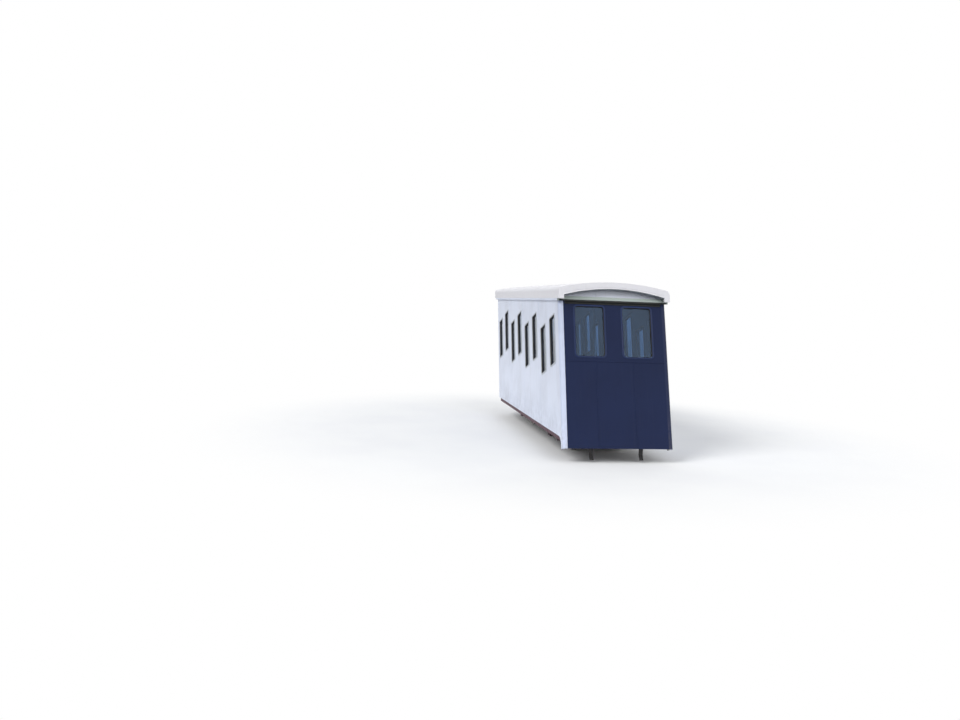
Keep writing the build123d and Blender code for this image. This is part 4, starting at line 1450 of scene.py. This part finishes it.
@dataclass
class Roof(Assembly):
    """Straps over the roof's joints, gutters along its edges, and the ceiling's strips and lamps."""

    gutter: float = 0.0048
    gutter_over: float = 0.02
    seam_inset: float = 0.055
    strip_half: float = 0.95
    strips_at: Point = (0.02, 0.5)
    lamp_at: float = 0.25

    def build(self) -> None:
        """Builds the roof's trim and the ceiling."""
        car, sizes = self.car, self.sizes
        seams, gutters = Maker("roof_seams", Palette.roof), Maker("roof_gutters", Palette.roof)
        strips, lamps = Maker("ceiling_strips", Palette.lining), Maker("ceiling_lamps", Palette.lamp)
        outer = [(-0.015, -0.000004), (-0.012, 0.004), (0.012, 0.004), (0.015, -0.000004)]
        inner = [(-0.02, 0.0005), (-0.014, -0.0075), (0.014, -0.0075), (0.02, 0.0005)]
        lamp = [(0.11, -0.012), (0.11, 0.012), (0.095, 0.022), (0.05, 0.036), (0.01, 0.04)]
        for index in range(sizes.compartments):
            start = car.compartment(index)
            if index:
                self.strap(seams, start, 0.0, sizes.roof_half - self.seam_inset, outer)
            for share in self.strips_at:
                run = start + share * sizes.compartment_length
                self.strap(strips, run, sizes.roof_skin, self.strip_half, inner)
            run = start + self.lamp_at * sizes.compartment_length
            top = car.over(car.eave + car.arch(0, sizes.roof_skin), run)
            lamps.turned(Sheet(car.at(0, run, top), X, Y, -Z), lamp, 28)
        reach = sizes.roof_overhang - 0.02
        for side in Side:
            x = side.value * (sizes.roof_half - self.gutter)
            runs = (-reach, sizes.body_length + reach)
            gutters.rod([car.at(x, run, car.over(car.eave + self.gutter_over, run)) for run in runs], self.gutter)

    def strap(self, made: Maker, run: float, inset: float, half: float, section: Outline) -> None:
        """Lays a strap across the car along the roof's arc.

        Args:
            made: piece that it goes into.
            run: place of its middle.
            inset: how far inside the roof's outer face the arc lies.
            half: half its width across the car.
            section: points as distance along the car and over the arc.
        """
        car, rings = self.car, []
        for x in even(-half, half, 25):
            level = car.eave + car.arch(x, inset)
            rings.append([car.at(x, run + along, car.over(level + rise, run + along)) for along, rise in section])
        made.rings(rings)


@dataclass
class Cabin(Assembly):
    """Slatted benches, pole flanges, floor ribs and the controls on the desk."""

    bench_height: float = 0.43
    bench_depth: float = 0.43
    bench_back: float = 0.9
    slat: float = 0.048
    slat_gap: float = 0.012
    slat_thickness: float = 0.02
    dip: float = 0.012
    irons: int = 5
    iron_reach: float = 0.9
    iron_width: float = 0.03
    pole: float = 0.016
    rib: float = 0.012
    rib_pitch: float = 0.06
    desk_height: float = 0.86
    desk_depth: float = 0.33
    desk_drop: float = 0.09
    gauge_x: float = 0.09
    knob_x: float = 0.12
    knobs: int = 5

    def build(self) -> None:
        """Builds everything inside the cabin."""
        car, sizes = self.car, self.sizes
        slats = Maker("bench_slats", Palette.wood, nodes=("benches",))
        irons = Maker("bench_irons", Palette.gear, Slot.WOOD)
        flanges, ribs = Maker("pole_flanges", Palette.pole), Maker("floor_ribs", Palette.floor)
        starts = [sizes.wall, *(car.compartment(index) for index in range(1, sizes.compartments))]
        for index, back in enumerate([*starts[1:], sizes.body_length - sizes.wall]):
            start, level = starts[index] + 0.03, car.floor(index)
            pole = car.compartment(index + 1) - self.bench_depth - 3 * self.pole
            self.flange(flanges, car.level_sheet(0, pole, level))
            self.bench(slats, irons, back, level)
            length = back - start - 0.02
            for x in row(int(2 * sizes.inner_half / self.rib_pitch), self.rib_pitch):
                sheet = car.level_sheet(x, start + length / 2, level + 0.0012)
                ribs.block(sheet, (self.rib, length, 0.0028), 0.0008)
        self.controls()

    def bench(self, slats: Maker, irons: Maker, back: float, level: float) -> None:
        """Adds one bench's slats and irons.

        Args:
            slats: piece of the slats.
            irons: piece of the irons.
            back: run of the bench's back.
            level: height of the floor.
        """
        car, thickness, step = self.car, self.slat_thickness, self.slat + self.slat_gap
        size = (2 * self.sizes.inner_half - 0.004, self.slat, thickness)
        for index in range(int((self.bench_depth - 0.03) / step)):
            dip = self.dip * math.sin(math.pi * (index + 0.5) / 7)
            run, height = back - self.bench_depth + self.slat / 2 + index * step, level + self.bench_height
            slats.block(car.level_sheet(0, run, height - thickness / 2 - dip), size, 0.005)
        for index in range(int((self.bench_back - self.bench_height - 0.03) / step)):
            height = level + self.bench_back - self.slat / 2 - index * step
            slats.block(car.end_sheet(0, back - thickness / 2 - 0.014, height, -1), size, 0.005)
        under = level + self.bench_height - thickness - 0.018
        section = [(-0.006, -0.012), (0.006, -0.012), (0.006, 0.012), (-0.006, 0.012)]
        for x in even(-self.iron_reach, self.iron_reach, self.irons):
            upright = car.end_sheet(x, back - 0.007, level + self.bench_back / 2, -1)
            irons.block(upright, (self.iron_width, self.bench_back, 0.014), 0.002)
            seat = car.level_sheet(x, back - self.bench_depth / 2 - 0.005, under)
            irons.block(seat, (self.iron_width, self.bench_depth - 0.03, 0.012), 0.002)
            line = []
            for angle in even(0.0, math.pi / 2, 9):
                run = back - 0.014 + (0.074 - self.bench_depth) * math.sin(angle)
                height = level + 0.12 + (under - level - 0.124) * (1 - math.cos(angle))
                line.append(car.at(x, run, height))
            irons.rail(line, X, section)

    def flange(self, made: Maker, foot: Sheet) -> None:
        """Adds the flange at a pole's foot.

        Args:
            made: piece that it goes into.
            foot: plane of the floor, about the pole.
        """
        outer = [(0.042, 0.0), (0.042, 0.004), (0.036, 0.007), (0.022, 0.009), (0.02, 0.03)]
        made.turned(foot, [*outer, (self.pole + 0.0005, 0.034)], 28)
        for place in circle(3, 0.031, 30):
            made.rivet(foot.moved(*place, 0.006), 0.004, 0.003)

    def controls(self) -> None:
        """Builds two gauges, a lever and a row of knobs on the desk."""
        metal = Maker("desk_metal", Palette.pole, Slot.DESK)
        faces, knobs = Maker("desk_dials", Palette.dial), Maker("desk_knobs", Palette.knob)
        middle = sum(corners("control_desk"), Vector((0, 0, 0))) / 2
        lean = math.atan2(self.desk_drop, self.desk_depth)
        v = self.car.turn(0, -math.cos(lean), math.sin(lean))
        n = self.car.turn(0, math.sin(lean), math.cos(lean))
        front = (self.sizes.wall + self.desk_depth, self.car.floor(0) + self.desk_height - self.desk_drop)
        desk = Sheet(self.car.at(middle.x, *front), X, v, n)
        for x in (-self.gauge_x, self.gauge_x):
            place = desk.moved(x, 0.23)
            metal.band(place, [(0.052, 0.0), (0.052, 0.012), (0.046, 0.016), (0.041, 0.012), (0.041, 0.0)], 32)
            faces.turned(place, [(0.042, 0.001), (0.042, 0.006)])
            knobs.block(place.moved(0.0, 0.008, 0.0075), (0.003, 0.036, 0.002))
            knobs.turned(place.moved(0, 0, 0.006), [(0.006, 0.0), (0.004, 0.004)], 16)
        for x in even(-self.knob_x, self.knob_x, self.knobs):
            knob = [(0.013, 0.0), (0.013, 0.006), (0.009, 0.009), (0.009, 0.018), (0.005, 0.021)]
            knobs.turned(desk.moved(x, 0.12), knob, 18)
        base = desk.moved(0.22, 0.14)
        metal.turned(base, [(0.035, 0.0), (0.035, 0.006), (0.022, 0.02), (0.01, 0.026)], 24)
        metal.rod([base.point(0, 0, 0.02), base.point(0, 0.02, 0.08), base.point(0, 0.05, 0.13)], 0.006)
        grip = [(0.006, 0.0), (0.017, 0.008), (0.02, 0.02), (0.016, 0.032), (0.006, 0.038)]
        knobs.turned(base.moved(0, 0.05, 0.125), grip, 20)


@dataclass
class RunningGear(Assembly):
    """Detail on the wheelsets, axle boxes and guards."""

    wheel_x: float = 0.5
    axle: float = 0.065
    rim_radius: float = 0.218
    disc_half: float = 0.055
    plate_half: float = 0.065
    stud_circle: float = 0.15
    studs: int = 8
    lid_circle: float = 0.052
    box_outer: float = 0.84
    guard_x: float = 0.7

    def build(self) -> None:
        """Builds the detail of both wheelsets and of what carries them."""
        for end, middle in self.car.axles.items():
            self.wheels(end, middle)
        covers, bolts = Maker("box_covers", Palette.gear), Maker("gear_bolts", Palette.bolts)
        lid = [(0.066, 0.0), (0.066, 0.006), (0.06, 0.01), (0.03, 0.014), (0.028, 0.022), (0.02, 0.026)]
        for middle in self.car.axles.values():
            for side in Side:
                plane = self.plane(side.value * self.box_outer, middle, side.value)
                covers.turned(plane, lid, 36)
                for place in circle(4, self.lid_circle, 45):
                    bolts.bolt(plane.moved(*place, 0.008), 0.007)
                plane = self.plane(side.value * self.guard_x, middle, side.value)
                for u, v in ((0.105, -0.105), (0.12, 0.0), (0.15, 0.1)):
                    for way in (-1, 1):
                        bolts.bolt(plane.moved(way * u, v), 0.009)

    def plane(self, x: float, middle: Point, out: int) -> Sheet:
        """Plane square to the axle about its middle."""
        return Sheet(Vector((x, *middle)), Y, Z, X * out)

    def wheels(self, end: str, middle: Point) -> None:
        """Builds the hub rings, fillets and bolts of one wheelset.

        Args:
            end: name of the wheelset's end.
            middle: place of its axle.
        """
        ride, hub, rim = f"wheelset_{end}", self.axle + 0.001, self.rim_radius - 0.001
        made = Maker(f"wheel_webs_{end}", Palette.gear, Slot.WHEEL, ride)
        studs = Maker(f"wheel_studs_{end}", Palette.bolts, Slot.WHEEL, ride)
        boss = [(hub, 0.0), (0.112, 0.0), (0.104, 0.012), (0.094, 0.024), (0.09, 0.026), (hub, 0.026)]
        fillet = [(rim - 0.022, 0.0), (rim - 0.008, 0.004), (rim - 0.002, 0.011), (rim, 0.016), (rim, 0.0)]
        for side, face, flat in ((Side.LEFT, self.disc_half, 0.35), (Side.RIGHT, self.plate_half, 1.0)):
            for out in (-1, 1):
                plane = self.plane(side.value * self.wheel_x, middle, out).moved(0, 0, face - 0.001)
                made.band(plane, boss, 48)
                made.band(plane, [(radius, level * flat) for radius, level in fillet], 64)
                for place in circle(self.studs, self.stud_circle, 180 / self.studs):
                    studs.bolt(plane.moved(*place, 0.001), 0.012)


@dataclass
class Underbody(Assembly):
    """Sills, whose dark maroon band under the skirt is partly painted shade of the underside and wheels, ribs and
    rivets of the sole bars, brake pipes, and bolts in brakes and springs.
    """

    web_x: float = 0.712
    flange_x: float = 0.768
    plate: float = 0.012
    bar_end: float = 0.2
    ribs: int = 9
    rivets: int = 40
    pipe_x: float = 0.22
    pipe: float = 0.011
    rail_x: float = 0.5
    brake_arm: float = 0.06
    sill_drop: float = 0.09

    def build(self) -> None:
        """Builds the detail under the floor."""
        # the sills give a dark maroon band under each skirt: partly an underframe part, partly painted shade of the
        # underside and wheels
        for side in Side:
            drop = -side.value * self.sill_drop
            outer = [(drop, -0.046), (drop, -0.03), (drop * 0.88, -0.034)]
            section = [(-drop * 0.04, -0.046), *outer, (-drop * 0.04, -0.034)]
            Maker(f"sill_{side}", Palette.underframe).rail(self.car.lower_edge(side), X * side.value, section)
        self.sole_bars()
        self.pipes()
        self.bolts()

    def sole_bars(self) -> None:
        """Builds upright ribs in both sole bars, and rivets under their flanges."""
        ribs, rivets = (Maker(f"sole_bar_{kind}", Palette.underframe) for kind in ("ribs", "rivets"))
        low, high = corners("sole_bar_left")
        size = (0.009, high.z - low.z - 2 * self.plate, self.flange_x - self.web_x)
        first, last = low.y + self.bar_end, high.y - self.bar_end
        for side in Side:
            x = side.value * (self.web_x + self.flange_x) / 2
            for y in even(first, last, self.ribs):
                ribs.block(Sheet(Vector((x, y, (low.z + high.z) / 2)), Y, Z, X), size, 0.0015)
            for y in even(first, last, self.rivets):
                rivets.rivet(Sheet(Vector((x, y, low.z)), X, Y, -Z), 0.009, 0.006)

    def pipes(self) -> None:
        """Runs two brake pipes under the cross members, in clips."""
        pipes = Maker("brake_pipes", Palette.axle, Slot.UNDERFRAME)
        clips = Maker("pipe_clips", Palette.gear, Slot.UNDERFRAME)
        start, end = corners("headstock_lower")[0].y + 0.08, corners("headstock_upper")[1].y - 0.12
        low, high = corners("cross_members")
        level = low.z - self.pipe - 0.001
        for x in (-self.pipe_x, self.pipe_x):
            pipes.rod([Vector((x, y, level)) for y in even(start, end, 13)], self.pipe, 12)
            for y in even(low.y + 0.05, high.y - 0.05, 3):
                clip = Sheet(Vector((x, y, level + 0.002)), X, Z, Y)
                clips.block(clip, (4 * self.pipe, 2 * self.pipe + 0.006, 0.02), 0.003)

    def bolts(self) -> None:
        """Sets bolts in the brakes and the springs' buckles."""
        made = Maker("underframe_bolts", Palette.bolts, Slot.UNDERFRAME)
        low, high = corners("rail_brakes")
        spring_low, spring_high = corners("leaf_springs")
        for side in Side:
            for y, out in ((low.y, -1), (high.y, 1)):
                for arm in (-self.brake_arm, self.brake_arm):
                    here = Vector((side.value * self.rail_x + arm, y, high.z * 0.72))
                    made.bolt(Sheet(here, X, Z, Y * out), 0.014)
            for along, _ in self.car.axles.values():
                for step in (-0.016, 0.016):
                    here = Vector((side.value * spring_high.x, along + step, spring_low.z + 0.03))
                    made.bolt(Sheet(here, Y, Z, X * side.value), 0.008)


@dataclass
class Studio(Assembly):
    """Floor, light and camera."""

    focal: float = 840.0
    spot: Triple = (-5.209, -15.423, -1.511)
    yaw: float = -9.32
    pitch: float = 12.56
    roll: float = -0.52
    photo_width: int = 960
    film_width: float = 36.0
    floor_half: float = 60.0
    floor_fade: Point = (5.0, 9.0)
    daylight: Colour = (0.92, 0.95, 1.0, 1.0)
    daylight_strength: float = 0.55

    def build(self) -> None:
        """Builds the studio."""
        self.floor()
        self.world()
        self.lamps()
        self.camera()

    def place(self, name: str, data: bpy.types.ID) -> bpy.types.Object:
        """Links an object with its data to the scene.

        Args:
            name: the object's name.
            data: its data.

        Returns:
            The object.
        """
        made = bpy.data.objects.new(name, data)
        bpy.context.scene.collection.objects.link(made)
        return made

    def floor(self) -> None:
        """Lays a wide pale floor under the wheels."""
        work = bmesh.new()
        bmesh.ops.create_grid(work, x_segments=8, y_segments=8, size=self.floor_half)
        data = bpy.data.meshes.new("floor")
        work.to_mesh(data)
        work.free()
        material = bpy.data.materials.new("pale_floor")
        material.use_nodes = True
        nodes = Nodes(material.node_tree)
        place = nodes.coordinate("Object")
        x, y = place.part(0), place.part(1)
        far = (x * x + y * y).maths("SQRT").ramp(*self.floor_fade)
        tint = place.noise(0.6).ramp(0.3, 0.7).mix(shade(241, 241, 241), shade(244, 244, 243))
        nodes.fill(
            "Principled BSDF", Base_Color=far.mix(tint, BLACK), Roughness=0.9, Specular_IOR_Level=0.0,
            Emission_Color=(far * self.seen(nodes)).mix(BLACK, WHITE), Emission_Strength=1.0,
        )
        data.materials.append(material)
        self.place("floor", data)

    def seen(self, nodes: Nodes) -> Field:
        """Tells the rays that see the background from those that light the car.

        Args:
            nodes: the material's nodes.

        Returns:
            One for a ray that sees it, or else nothing.
        """
        kinds = ("Camera", "Glossy", "Transmission")
        first, second, third = (nodes.field("ShaderNodeLightPath", f"Is {kind} Ray", {}) for kind in kinds)
        return first.maths("MAXIMUM", second).maths("MAXIMUM", third)

    def world(self) -> None:
        """Surrounds the car with soft light, and shows white behind it."""
        world = bpy.data.worlds.new("studio")
        bpy.context.scene.world = world
        world.use_nodes = True
        nodes = Nodes(world.node_tree)
        seen = self.seen(nodes)
        strength = seen.ramp(0.0, 1.0, self.daylight_strength, 1.0)
        nodes.fill("Background", Color=seen.mix(self.daylight, WHITE), Strength=strength)

    def lamps(self) -> None:
        """Lights the left side with a wide key lamp, and the front and the back more softly."""
        rows = (
            # name, where it shines from, strength, width in degrees
            ("key", (-9.0, -5.0, 8.0), 1.8, 30.0),
            ("fill", (4.0, -10.0, 5.0), 0.7, 50.0),
            ("back", (4.0, 10.0, 5.0), 0.4, 50.0),
            ("doors", (9.0, -1.0, 3.0), 0.6, 50.0),
        )
        for name, source, strength, width in rows:
            data = bpy.data.lights.new(name, "SUN")
            data.energy, data.angle = strength, math.radians(width)
            self.place(name, data).rotation_euler = (-Vector(source)).to_track_quat("-Z", "Y").to_euler()

    def camera(self) -> None:
        """Sets the camera where the photograph was taken from, level with the true horizon."""
        yaw, pitch, roll = (math.radians(angle) for angle in (self.yaw, self.pitch, self.roll))
        ahead = Vector((-math.sin(yaw) * math.cos(pitch), math.cos(yaw) * math.cos(pitch), math.sin(pitch)))
        right = Vector((math.cos(yaw), math.sin(yaw), 0.0))
        up = right.cross(ahead)
        right, up = right * math.cos(roll) + up * math.sin(roll), up * math.cos(roll) - right * math.sin(roll)
        turn = Matrix([self.car.turn(*axis) for axis in (right, up, -ahead)]).transposed().to_4x4()
        data = bpy.data.cameras.new("camera")
        data.sensor_width = self.film_width
        data.lens = self.focal * self.film_width / self.photo_width
        data.clip_end = 200.0
        made = self.place("camera", data)
        made.matrix_world = Matrix.Translation(self.car.at(*self.spot)) @ turn
        bpy.context.scene.camera = made


def main() -> None:
    """Dresses the car piece by piece and sets the studio round it."""
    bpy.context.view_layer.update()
    bpy.context.scene.view_settings.view_transform = "Standard"
    car = CarFrame.from_boxes()
    Effect.build(car.shift)
    Palette.dress_nodes(car)
    for kind in (WindowFrames, WallTrim, EndTrim, DoorTrim, InnerTrim, Roof, Cabin, RunningGear, Underbody, Studio):
        kind(car).build()
        Maker.close()
        log.info("built %s", kind.__name__)


if __name__ == "__main__":
    main()
